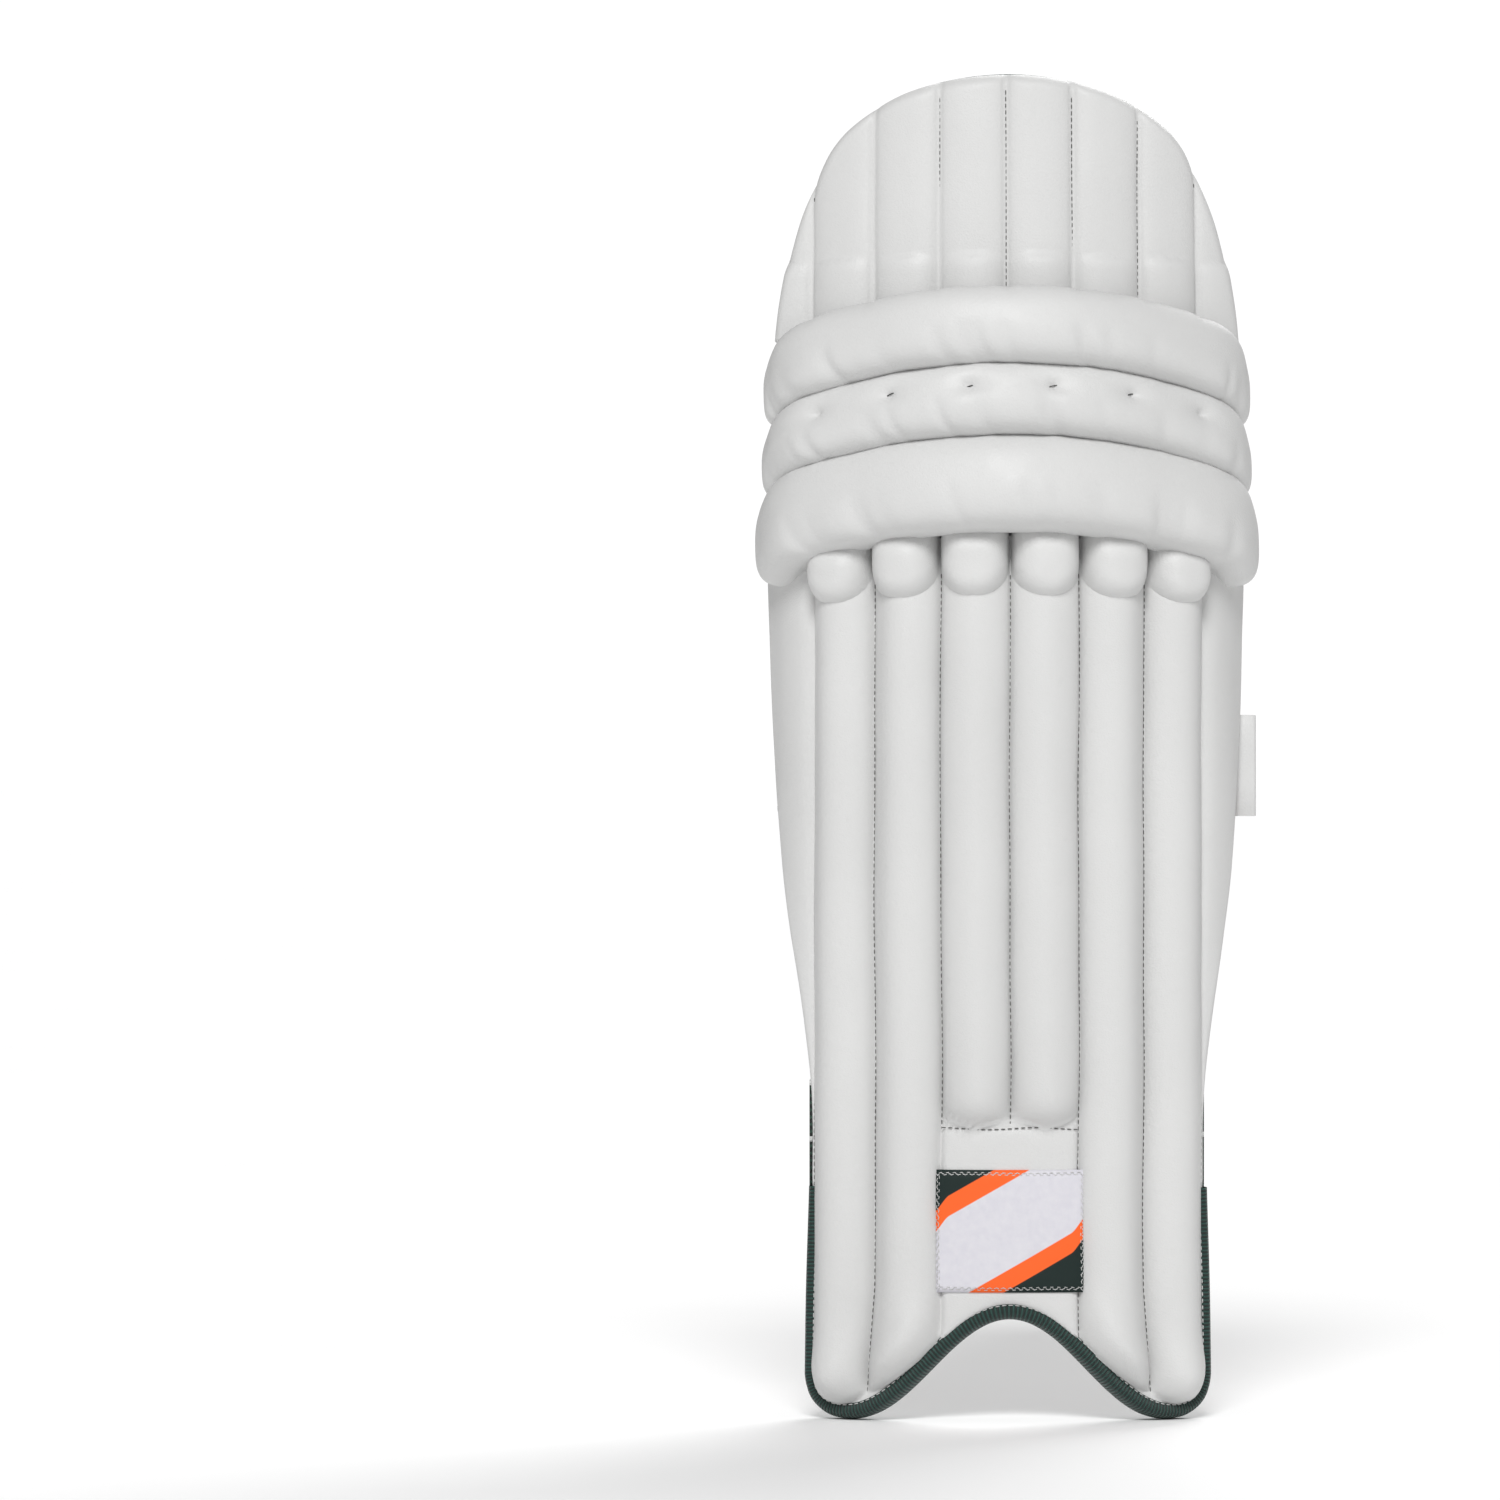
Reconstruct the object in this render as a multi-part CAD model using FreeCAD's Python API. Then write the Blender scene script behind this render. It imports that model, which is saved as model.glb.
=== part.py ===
"""Cricket batting leg pad, youth size, as an assembly of separate sewn and moulded pieces.

Millimetres, +Z up, the face that meets the ball looks along -Y, the leg stands on the +Y side.
The origin is at the middle of the pad's box, on the level that the toe lobes stand on.
"""

import FreeCAD, Part

import math
import os

from FreeCAD import Placement, Rotation, Vector

# ---------------------------------------------------------------- driving dimensions
HEIGHT = 630.8            # toe lobes to the top of the flap
FACE_Y = -27.0            # where the face panel's seam line stands on the centre plane
FACE_R = 152.0            # radius of the face in plan
WING_R = 40.0             # tighter radius where a wing turns back
FACE_TURN = math.radians(36.5)   # turn where the face ends and a wing starts
WING_TURN = math.radians(72.0)   # turn where a wing becomes straight
CHANNELS = 6              # sewn channels across the shin face
CHANNEL_TURN = 2 * FACE_TURN / CHANNELS
CROWN = 12.5              # how far a channel's crown stands in front of its seams
SKIN = 1.2                # coated cover fabric
GAP = 0.4                 # clearance between neighbouring pieces
TOUCH = 0.01              # between two layers sewn flat on each other
FOAM = 8.0                # backing foam
LINING = 1.2              # lining fabric

ROLL_TILT = math.radians(17.5)   # the knee rolls fall towards the back by this angle
ROLL_R = 118.0            # radius of a roll's middle line at the front
ROLL_TURN = math.radians(45.0)
ROLL_SIDE_R = 38.0        # radius of its middle line at a side
ROLL_SIDE_TURN = math.radians(80.0)
ROLL_END = 29.0           # straight stretch at each end
ROLL_OUT = 14.0           # its middle line stands this far in front of the seam line
ROLLS = {                 # name: (height of the middle line at the front, half depth, half height)
    "upper": (505.8, 15.6, 16.6),
    "middle": (471.6, 15.0, 15.6),
    "lower": (433.4, 16.6, 20.8),
}

SHIN_TOP = 411.0          # top of the shin panel on the centre plane
KNEE_BOTTOM = 413.0       # underside of the knee section there
FLAP_BOTTOM = 527.5       # the flap's foot on the centre plane, just above the upper roll
FLAP_TONGUE = (50.0, 503.0)      # half width and foot of its middle, which goes down behind that roll
FLAP_LEAN = math.radians(-4.0)
FLAP_SET_BACK = 8.5       # the flap stands this far behind the seam line
FLAP_SIDE = (             # height, half width of the flap's outline
    (480.0, 109.0), (520.0, 104.5), (543.0, 100.0), (567.0, 94.0), (590.0, 84.5),
    (602.0, 76.5), (613.0, 65.0), (624.0, 42.0),
)
FLAP_CHANNELS = 8

WING_EDGE = (             # height, back edge of the wing as it is seen from the side
    (406.0, 44.0), (388.0, 43.0), (318.0, 35.0), (262.0, 23.0), (203.0, 9.5), (168.0, 5.4),
    (145.0, 3.2), (109.0, 4.3), (60.0, 6.0), (-5.0, 6.8),
)
TOE_HALF = 97.0           # half width at the toe lobes
TOE_CORNER = 20.0         # radius of a lobe's outer corner
ARCH_HEIGHT = 48.0        # instep arch
ARCH_HALF = 76.0
SHORT_CHANNEL_Z = 141.0   # the two middle channels end here, above the instep
BINDING_TOP = 110.0
BINDING = 1.4             # thickness of the ribbed binding tape

WEB = 1.6                 # webbing thickness
BAR_R = 1.7               # a buckle's bar
FOLD_IN = 2.4             # inside of the webbing's fold round a bar
RING_DEPTH = 4.0          # a buckle's bowed ends, front to back
BAR_INSET = 6.5           # from a ring's outer edge to its bar's middle
TIP_RISE = 4.0            # how much a strap's folded tip comes down towards the strap
# name: (middle height, webbing width, ring centre x, ring width, ring centre y, swing line x, anchor edge x, tip)
STRAPS = {
    "knee": (426.0, 27.0, 90.0, 24.0, 56.4, -104.0, 112.0, 26.0),
    "calf": (311.0, 55.0, 75.5, 26.0, 43.2, -101.0, 106.0, 24.0),
    "ankle": (132.0, 55.0, 67.0, 26.0, 27.6, -86.0, 92.0, 20.0),
}
LEG_FOOT = {"knee": 50.0, "calf": 30.0, "ankle": 4.6}   # the sewn legs of a strap start here

BIG = 400.0
OUT = "parts"


# ---------------------------------------------------------------- helpers
def face_point(turn, off, z=0.0, radius=FACE_R, front=FACE_Y):
    """A point off mm in front of the face's arc, turn radians round from the centre plane."""
    r = radius + off
    return Vector(r * math.sin(turn), front + radius - r * math.cos(turn), z)


def side_point(turn, off, z=0.0, side=1):
    """A point off mm outside a wing's arc, on the side given."""
    corner = face_point(FACE_TURN, 0.0)
    cx = corner.x - WING_R * math.sin(FACE_TURN)
    cy = corner.y + WING_R * math.cos(FACE_TURN)
    r = WING_R + off
    return Vector(side * (cx + r * math.sin(turn)), cy - r * math.cos(turn), z)


def mirrored(p):
    return Vector(-p.x, p.y, p.z)


def arc(a, b, c):
    return Part.Arc(a, b, c).toShape()


def line(a, b):
    return Part.makeLine(a, b)


def solid_from(edges, depth):
    """The closed outline of the edges, extruded by the vector depth."""
    return Part.Face(Part.Wire(Part.__sortEdges__(edges))).extrude(depth)


def box(x0, x1, y0, y1, z0, z1):
    return Part.makeBox(x1 - x0, y1 - y0, z1 - z0, Vector(x0, y0, z0))


def tilted_below(z, y=FACE_Y):
    """Everything under a plane that passes the height z at the front and falls towards the back."""
    block = box(-BIG, BIG, -BIG, BIG, -2 * BIG, 0)
    block.Placement = Placement(Vector(0, y, z), Rotation(Vector(1, 0, 0), -math.degrees(ROLL_TILT)))
    return block


def face_shell(off_out, off_in, turn, z0, z1, radius=FACE_R, front=FACE_Y):
    """A curved sheet between two offsets of the face's arc, turn radians to each side."""
    a, b, c = [face_point(t, off_out, z0, radius, front) for t in (-turn, 0, turn)]
    d, e, f = [face_point(t, off_in, z0, radius, front) for t in (turn, 0, -turn)]
    edges = [arc(a, b, c), line(c, d), arc(d, e, f), line(f, a)]
    return solid_from(edges, Vector(0, 0, z1 - z0))


def wing_shell(off_out, off_in, side, z0, z1, start=FACE_TURN, straight=40.0):
    """A curved sheet between two offsets of a wing's arc and of the straight stretch behind it."""
    middle = (start + WING_TURN) / 2
    run = Vector(side * math.cos(WING_TURN), math.sin(WING_TURN), 0) * straight
    outer = [side_point(t, off_out, z0, side) for t in (start, middle, WING_TURN)]
    inner = [side_point(t, off_in, z0, side) for t in (start, middle, WING_TURN)]
    edges = [
        arc(*outer),
        line(outer[2], outer[2] + run),
        line(outer[2] + run, inner[2] + run),
        line(inner[2] + run, inner[2]),
        arc(*inner),
        line(inner[0], outer[0]),
    ]
    return solid_from(edges, Vector(0, 0, z1 - z0))


def arch(x, inset=0.0):
    """Height of the pad's lower edge at x, inside the lobes' corners."""
    t = min(1.0, abs(x) / ARCH_HALF)
    return inset + ARCH_HEIGHT * (1 + math.cos(math.pi * t)) / 2


def inside(points, *straight):
    """Everything inside an outline seen from the front: a smooth curve, closed by straight lines."""
    curve = Part.BSplineCurve()
    curve.interpolate(points)
    ends = [points[-1], *straight, points[0]]
    edges = [curve.toShape()] + [line(ends[i], ends[i + 1]) for i in range(len(ends) - 1)]
    return solid_from(edges, Vector(0, 2 * BIG, 0))


def shin_outline(inset=0.0):
    """Everything inside the shin's outline as it is seen from the front."""
    side = TOE_HALF - inset
    corner_x = TOE_HALF - TOE_CORNER
    r = TOE_CORNER - inset
    corner = [
        Vector(corner_x + r * math.sin(a), -BIG, TOE_CORNER - r * math.cos(a))
        for a in (math.pi / 2, math.pi / 4, 0.0)
    ]
    bottom = [Vector(x, -BIG, arch(x, inset)) for x in (corner_x - 9.0, 50.0, 25.0, 0.0)]
    half = [Vector(side, -BIG, TOE_CORNER + 9.0), *corner, *bottom]
    points = half + [mirrored(p) for p in reversed(half[:-1])]
    up = [Vector(side, -BIG, 128.0), Vector(BIG / 3, -BIG, 150.0), Vector(BIG / 3, -BIG, BIG + 80.0)]
    return inside(points, *[mirrored(p) for p in up], *reversed(up))


def flap_outline(inset=0.0):
    """Everything inside the flap's outline as it is seen from the front."""
    half = [Vector(w - inset, -BIG, z - inset * (z > 600.0)) for z, w in FLAP_SIDE]
    points = half + [Vector(0, -BIG, HEIGHT - inset)] + [mirrored(p) for p in reversed(half)]
    return inside(points)


def ahead_of_wing_edge(inset=0.0):
    """Everything in front of the wings' back edges."""
    points = [Vector(-BIG, y - inset, z) for z, y in WING_EDGE]
    curve = Part.BSplineCurve()
    curve.interpolate(points)
    front = [Vector(-BIG, -BIG, points[-1].z), Vector(-BIG, -BIG, points[0].z)]
    edges = [curve.toShape(), line(points[-1], front[0]), line(*front), line(front[1], points[0])]
    return solid_from(edges, Vector(2 * BIG, 0, 0))


def bulge(turn_a, turn_b, low, crown, z0, z1, base=0.0, radius=FACE_R, front=FACE_Y):
    """A D-shaped bar on the face between two turns: low at its edges and crown in the middle."""
    middle = (turn_a + turn_b) / 2
    a, b, c = (
        face_point(turn_a, low, z0, radius, front),
        face_point(middle, crown, z0, radius, front),
        face_point(turn_b, low, z0, radius, front),
    )
    d, e, f = [face_point(t, base, z0, radius, front) for t in (turn_b, middle, turn_a)]
    edges = [arc(a, b, c), line(c, d), arc(d, e, f), line(f, a)]
    return solid_from(edges, Vector(0, 0, z1 - z0))


def lean_flap(shape):
    """Leans a piece of the flap back about the flap's foot."""
    shape.rotate(Vector(0, FACE_Y, FLAP_BOTTOM), Vector(1, 0, 0), math.degrees(FLAP_LEAN))
    return shape


def largest(shape):
    return max(shape.Solids, key=lambda solid: solid.Volume)


def save(name, shape):
    """Writes one sub-part and prints its size."""
    shape.exportStep(os.path.join(OUT, name + ".step"))
    b = shape.BoundBox
    size = f"{b.XMin:.1f}..{b.XMax:.1f} {b.YMin:.1f}..{b.YMax:.1f} {b.ZMin:.1f}..{b.ZMax:.1f}"
    print(name, len(shape.Solids), "valid" if shape.isValid() else "INVALID", round(shape.Volume), size)


# ---------------------------------------------------------------- shin section
def channel_turns(k):
    """The turns at which the shin's channel k starts and ends, counted from -X."""
    return -FACE_TURN + k * CHANNEL_TURN, -FACE_TURN + (k + 1) * CHANNEL_TURN


def is_short(k):
    return k in (CHANNELS // 2 - 1, CHANNELS // 2)


def channel_foot(k):
    return SHORT_CHANNEL_Z if is_short(k) else 0.0


def make_shin_cover(outline, top):
    """The coated face: six sewn pockets and the flat instep panel below the two short ones."""
    cover = face_shell(1.0, 0.0, FACE_TURN, 0.0, 450.0)
    edge = math.radians(0.2)
    for k in range(CHANNELS):
        a, b = channel_turns(k)
        z0 = channel_foot(k)
        cover = cover.fuse(bulge(a, b, 1.0, CROWN + SKIN, z0, 450.0))
    for k in range(CHANNELS):
        a, b = channel_turns(k)
        z0 = channel_foot(k) + 3 * SKIN
        cover = cover.cut(bulge(a + 5 * edge, b - 5 * edge, 1.8, CROWN, z0, 460.0, base=1.0))
    return cover.common(outline).common(top)


def make_channel_foams(outline, top):
    """One foam bar in each pocket, with round holes for its canes."""
    bars = []
    edge = math.radians(2.0)
    for k in range(CHANNELS):
        a, b = channel_turns(k)
        bar = bulge(a + edge, b - edge, 2.2, CROWN - GAP, channel_foot(k) + 6 * SKIN, 460.0, base=1.0 + GAP)
        bar = bar.common(outline).common(top)
        for cane in canes_in(k, grow=0.25):
            bar = bar.cut(cane)
        bars.append(bar)
    return bars


def canes_in(k, grow=0.0):
    """Two canes in channel k."""
    a, b = channel_turns(k)
    middle, step = (a + b) / 2, (b - a) / 5.5
    z0 = SHORT_CHANNEL_Z + 12.0 if is_short(k) else 62.0
    places = [face_point(middle + d * step, 5.4) for d in (-1, 1)]
    return [
        Part.makeCylinder(2.6 + grow, 335.0 - z0, Vector(p.x, p.y, z0))
        for p in places
    ]


def make_heads(top):
    """The domed lower ends of the six knee bolsters, just under the lower knee roll."""
    heads = []
    for k in range(CHANNELS):
        a, b = channel_turns(k)
        middle = (a + b) / 2
        p = face_point(middle, 5.0)
        z = 398.0 - 0.30 * (p.y - FACE_Y)
        dome = Part.makeSphere(14.2, Vector(p.x, p.y, z))
        column = Part.makeCylinder(14.2, 60.0, Vector(p.x, p.y, z))
        head = dome.fuse(column).removeSplitter().common(top)
        inner = bulge(a - 0.02, b + 0.02, CROWN + SKIN + 2.0, CROWN + SKIN + 2.0, 300.0, 470.0, base=-60.0)
        bump = bulge(a, b, 1.0, CROWN + SKIN, 300.0, 470.0, base=-60.0)
        keep_side = bulge(a + 0.004, b - 0.004, 40.0, 40.0, 300.0, 470.0, base=1.2)
        head = head.common(keep_side).cut(bump)
        if head.Solids and inner.Volume > 0:
            heads.append(max(head.Solids, key=lambda s: s.Volume))
    return heads


def make_shin_backing(outline, top):
    """The foam sheet behind the pockets."""
    sheet = face_shell(-GAP, -GAP - FOAM, FACE_TURN, 0.0, 450.0)
    return sheet.common(outline).common(top)


def make_wing(side, outline, top):
    """The padded wing: coated outside, foam inside."""
    wing = wing_shell(1.6, -FOAM, side, 0.0, 450.0, start=FACE_TURN + 0.006)
    return wing.common(outline).common(top).common(ahead_of_wing_edge())


def make_wing_lining(side, outline, top):
    """The bright lining inside a wing."""
    sheet = wing_shell(-FOAM - GAP, -FOAM - GAP - LINING, side, 156.0, 450.0, start=FACE_TURN + 0.05)
    return sheet.common(outline).common(top).common(ahead_of_wing_edge(1.0))


def make_shin_bolster(side, top):
    """A mesh-covered foam bolster that keeps the pad off the shin."""
    inner = -GAP - FOAM - 1.5 * GAP
    a, b = math.radians(17.0), math.radians(36.5)
    first, last = sorted((side * a, side * b))
    return bulge(first, last, inner - 7.0, inner - 17.0, 122.0, 450.0, base=inner).common(top)


def make_centre_pad(top):
    """The flat padded panel between the two bolsters."""
    inner = -GAP - FOAM - 1.5 * GAP
    sheet = face_shell(inner, inner - 8.0, math.radians(15.8), 122.0, 450.0)
    return sheet.common(top)


def make_instep_lining(outline):
    """The white padded lining of the instep, below the ankle strap."""
    inner = -GAP - FOAM - 1.5 * GAP
    return face_shell(inner, inner - 5.0, FACE_TURN - 0.02, 0.0, 121.0).common(outline)


def make_emblem_patch():
    """A printed rectangle sewn on the instep panel."""
    return face_shell(1.9, 1.1, math.radians(11.8), 63.0, 120.5)


def make_binding(outer, inner):
    """Ribbed tape round the lower edge and up both sides of the instep, with a lip at the back."""
    back = -2.5 * GAP - FOAM - 5.0
    rim = outer.cut(inner).common(box(-BIG, BIG, -BIG, BIG, -1.0, BINDING_TOP))
    edge = face_shell(CROWN - 4.0, back, FACE_TURN + 0.08, -1.0, 130.0).common(rim)
    lip = face_shell(back - GAP, back - GAP - BINDING, FACE_TURN, -1.0, 130.0)
    lip = lip.common(outer).common(box(-BIG, BIG, -BIG, BIG, -1.0, BINDING_TOP))
    return edge, lip


def make_size_label():
    """A small woven size label, sewn on the back of the buckle side bolster."""
    return box(70.0, 87.0, 16.46, 16.96, 174.0, 189.0)


def make_side_tab():
    """A folded loop of cover fabric sewn on the wing's edge beside the calf strap."""
    return box(108.6, 117.0, 36.95, 38.95, 282.0, 330.0)


# ---------------------------------------------------------------- knee section
def roll_path_points(off=0.0, end_length=ROLL_END):
    """The points of a knee roll's middle line, moved off mm outwards, in its own plane."""
    r, s = ROLL_R + off, ROLL_SIDE_R + off
    front = -ROLL_OUT

    def main(turn):
        return Vector(r * math.sin(turn), front + ROLL_R - r * math.cos(turn), 0)

    cx = (ROLL_R - ROLL_SIDE_R) * math.sin(ROLL_TURN)
    cy = front + ROLL_R - (ROLL_R - ROLL_SIDE_R) * math.cos(ROLL_TURN)

    def side(turn):
        return Vector(cx + s * math.sin(turn), cy - s * math.cos(turn), 0)

    half_side = (ROLL_TURN + ROLL_SIDE_TURN) / 2
    end = side(ROLL_SIDE_TURN) + Vector(math.cos(ROLL_SIDE_TURN), math.sin(ROLL_SIDE_TURN), 0) * end_length
    return [main(0), main(ROLL_TURN), side(half_side), side(ROLL_SIDE_TURN), end]


def roll_path_edges(off=0.0, end_length=ROLL_END):
    top, corner, bend, straight, end = roll_path_points(off, end_length)
    return [
        line(mirrored(end), mirrored(straight)),
        arc(mirrored(straight), mirrored(bend), mirrored(corner)),
        arc(mirrored(corner), top, corner),
        arc(corner, bend, straight),
        line(straight, end),
    ]


def tilt_roll(shape, z):
    """Places a shape made in the roll's own plane at the height z, with its ends lower."""
    turn = Rotation(Vector(1, 0, 0), -math.degrees(ROLL_TILT))
    shape.Placement = Placement(Vector(0, FACE_Y, z), turn).multiply(shape.Placement)
    return shape


def roll_tube(depth, height, z, end_length=ROLL_END):
    """An elliptical tube along a roll's middle line."""
    path = Part.Wire(roll_path_edges(end_length=end_length))
    start = mirrored(roll_path_points(end_length=end_length)[-1])
    across = Vector(math.sin(ROLL_SIDE_TURN), math.cos(ROLL_SIDE_TURN), 0)
    oval = Part.Ellipse(start + Vector(0, 0, height), start + across * depth, start)
    tube = path.makePipeShell([Part.Wire(oval.toShape())], True, True)
    return tilt_roll(tube, z)


def make_roll(name):
    """A knee roll's cover and its foam core."""
    z, depth, height = ROLLS[name]
    outer = roll_tube(depth, height, z)
    hollow = roll_tube(depth - SKIN, height - SKIN, z, ROLL_END - SKIN)
    core = roll_tube(depth - SKIN - 0.3, height - SKIN - 0.3, z, ROLL_END - SKIN - 0.3)
    return outer.cut(hollow), core


def knee_sheet(off_out, off_in, z0, z1, end_length):
    """A sheet behind the rolls, between two offsets of their middle line."""
    outer, inner = roll_path_edges(off_out, end_length), roll_path_edges(off_in, end_length)
    a, b = roll_path_points(off_out, end_length)[-1], roll_path_points(off_in, end_length)[-1]
    edges = [*outer, *inner, line(a, b), line(mirrored(a), mirrored(b))]
    face = tilt_roll(Part.Face(Part.Wire(Part.__sortEdges__(edges))), z0)
    return face.extrude(Vector(0, 0, z1 - z0))


def make_knee_backing():
    """The foam sheet that the three rolls are sewn to."""
    return knee_sheet(-19.2, -24.2, KNEE_BOTTOM + 2.0, 496.0, 2.0)


def make_tuft_ties():
    """Six thread ties that pull the middle roll in."""
    z, depth, _ = ROLLS["middle"]
    ties = []
    for k in range(CHANNELS):
        turn = (k - 2.5) * math.radians(17.0)
        r = ROLL_R + depth + 0.3
        place = Vector(r * math.sin(turn), -ROLL_OUT + ROLL_R - r * math.cos(turn), 1.0)
        tie = Part.makeBox(1.0, 1.4, 5.0, Vector(-0.5, -1.6, -2.5))
        tie.Placement = Placement(place, Rotation(Vector(0, 0, 1), math.degrees(turn)))
        ties.append(tilt_roll(tie, z))
    return ties


def cradle_profile(ear, half, deep, y_edge, thick, z0, z1):
    """A sling across the back: flat ears from half to ear, and deep mm forward in the middle."""
    a, b, c = Vector(-half, y_edge, z0), Vector(0, y_edge - deep, z0), Vector(half, y_edge, z0)
    push = Vector(0, thick, 0)
    d, e = Vector(ear, y_edge, z0), Vector(-ear, y_edge, z0)
    edges = [
        arc(a, b, c), line(c, d), line(d, d + push), line(d + push, c + push),
        arc(c + push, b + push, a + push), line(a + push, e + push), line(e + push, e), line(e, a),
    ]
    return solid_from(edges, Vector(0, 0, z1 - z0))


def make_cradle():
    """The mesh sling behind the knee, in two sides, with a padded hexagon between them."""
    z0, z1 = 392.5, 484.0
    sling = cradle_profile(113.0, 82.0, 40.0, 46.8, 3.0, z0, z1)
    sides = sling.cut(knee_hexagon(-GAP))
    right = sides.common(box(-BIG, 0, -BIG, BIG, 0, 2 * BIG))
    left = sides.common(box(0, BIG, -BIG, BIG, 0, 2 * BIG))
    cup = cradle_profile(113.0, 82.0, 40.0, 46.2, 5.0, z0, z1).common(knee_hexagon(0.0))
    ring = cradle_profile(113.0, 82.0, 40.0, 46.2 + 5.0 + GAP, 0.8, z0, z1)
    ring = ring.common(knee_hexagon(4.0)).cut(knee_hexagon(11.0))
    return right, left, cup, ring


def knee_hexagon(inset):
    """The hexagon prism between the two mesh sides."""
    corners = ((45.0 - inset, 437.0), (22.0 - inset / 2, 484.0 - inset), (21.0 - inset / 2, 392.5 + inset))
    (wx, wz), (tx, tz), (bx, bz) = corners
    ring = [(wx, wz), (tx, tz), (-tx, tz), (-wx, wz), (-bx, bz), (bx, bz)]
    points = [Vector(x, -BIG, z) for x, z in ring]
    edges = [line(points[i], points[(i + 1) % 6]) for i in range(6)]
    return solid_from(edges, Vector(0, 2 * BIG, 0))


# ---------------------------------------------------------------- flap
def flap_turns(k):
    """The turns at which the flap's channel k starts and ends."""
    seam = math.radians(12.4)
    marks = [-0.86, -3 * seam, -2 * seam, -seam, 0.0, seam, 2 * seam, 3 * seam, 0.86]
    return marks[k], marks[k + 1]


def above_flap_foot(clear=0.0, tongue=False):
    """Everything above the flap's foot, which falls towards the back as the rolls do."""
    space = box(-BIG, BIG, -BIG, BIG, 0, 2 * BIG).cut(tilted_below(FLAP_BOTTOM + clear))
    if tongue:
        half, z = FLAP_TONGUE
        space = space.fuse(box(-half, half, -BIG, BIG, z + clear, FLAP_BOTTOM + clear + 5.0))
    return space


def make_flap_cover(outline, foot):
    """The coated front of the flap, sewn in eight channels."""
    front = FACE_Y + FLAP_SET_BACK
    sheet = face_shell(0.8, 0.0, 0.86, 470.0, 640.0, front=front)
    for k in range(FLAP_CHANNELS):
        a, b = flap_turns(k)
        crown = 7.0 if 0 < k < FLAP_CHANNELS - 1 else 5.0
        sheet = sheet.fuse(bulge(a, b, 0.8, crown, 470.0, 640.0, front=front))
    for k in range(FLAP_CHANNELS):
        a, b = flap_turns(k)
        crown = (7.0 if 0 < k < FLAP_CHANNELS - 1 else 5.0) - SKIN
        sheet = sheet.cut(bulge(a + 0.02, b - 0.02, 1.3, crown, 460.0, 650.0, base=0.8, front=front))
    return lean_flap(sheet.common(outline)).common(foot)


def make_flap_canes(outline, foot):
    """Flat cane and foam slats, one in each of the six full channels."""
    front = FACE_Y + FLAP_SET_BACK
    slats = []
    for k in range(1, FLAP_CHANNELS - 1):
        a, b = flap_turns(k)
        slat = bulge(a + 0.035, b - 0.035, 1.5, 7.0 - SKIN - GAP, 470.0, 640.0, base=0.8 + GAP, front=front)
        slats.append(lean_flap(slat.common(outline)).common(foot))
    return slats


def make_flap_foam(outline, foot):
    """The foam sheet behind the flap's channels."""
    front = FACE_Y + FLAP_SET_BACK
    sheet = face_shell(-GAP, -GAP - 7.0, 0.86, 470.0, 640.0, front=front)
    return lean_flap(sheet.common(outline)).common(foot)


def make_flap_lining(outline, foot):
    """The cotton lining on the flap's back."""
    front = FACE_Y + FLAP_SET_BACK
    sheet = face_shell(-2 * GAP - 7.0, -2 * GAP - 7.0 - 2.0, 0.86, 470.0, 640.0, front=front)
    return lean_flap(sheet.common(outline)).common(foot)


# ---------------------------------------------------------------- straps
def slab(x0, x1, y_middle, z, width, thick=WEB):
    return box(x0, x1, y_middle - thick / 2, y_middle + thick / 2, z - width / 2, z + width / 2)


def half_ring(x, y, r_in, r_out, z, width, side):
    """Half a tube about an upright axis, on the side given: -1 is towards -X."""
    ring = Part.makeCylinder(r_out, width, Vector(x, y, z - width / 2))
    ring = ring.cut(Part.makeCylinder(r_in, width, Vector(x, y, z - width / 2)))
    reach = 2 * r_out
    x0, x1 = (x - reach, x) if side < 0 else (x, x + reach)
    return ring.common(box(x0, x1, y - reach, y + reach, z - width, z + width))


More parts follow.
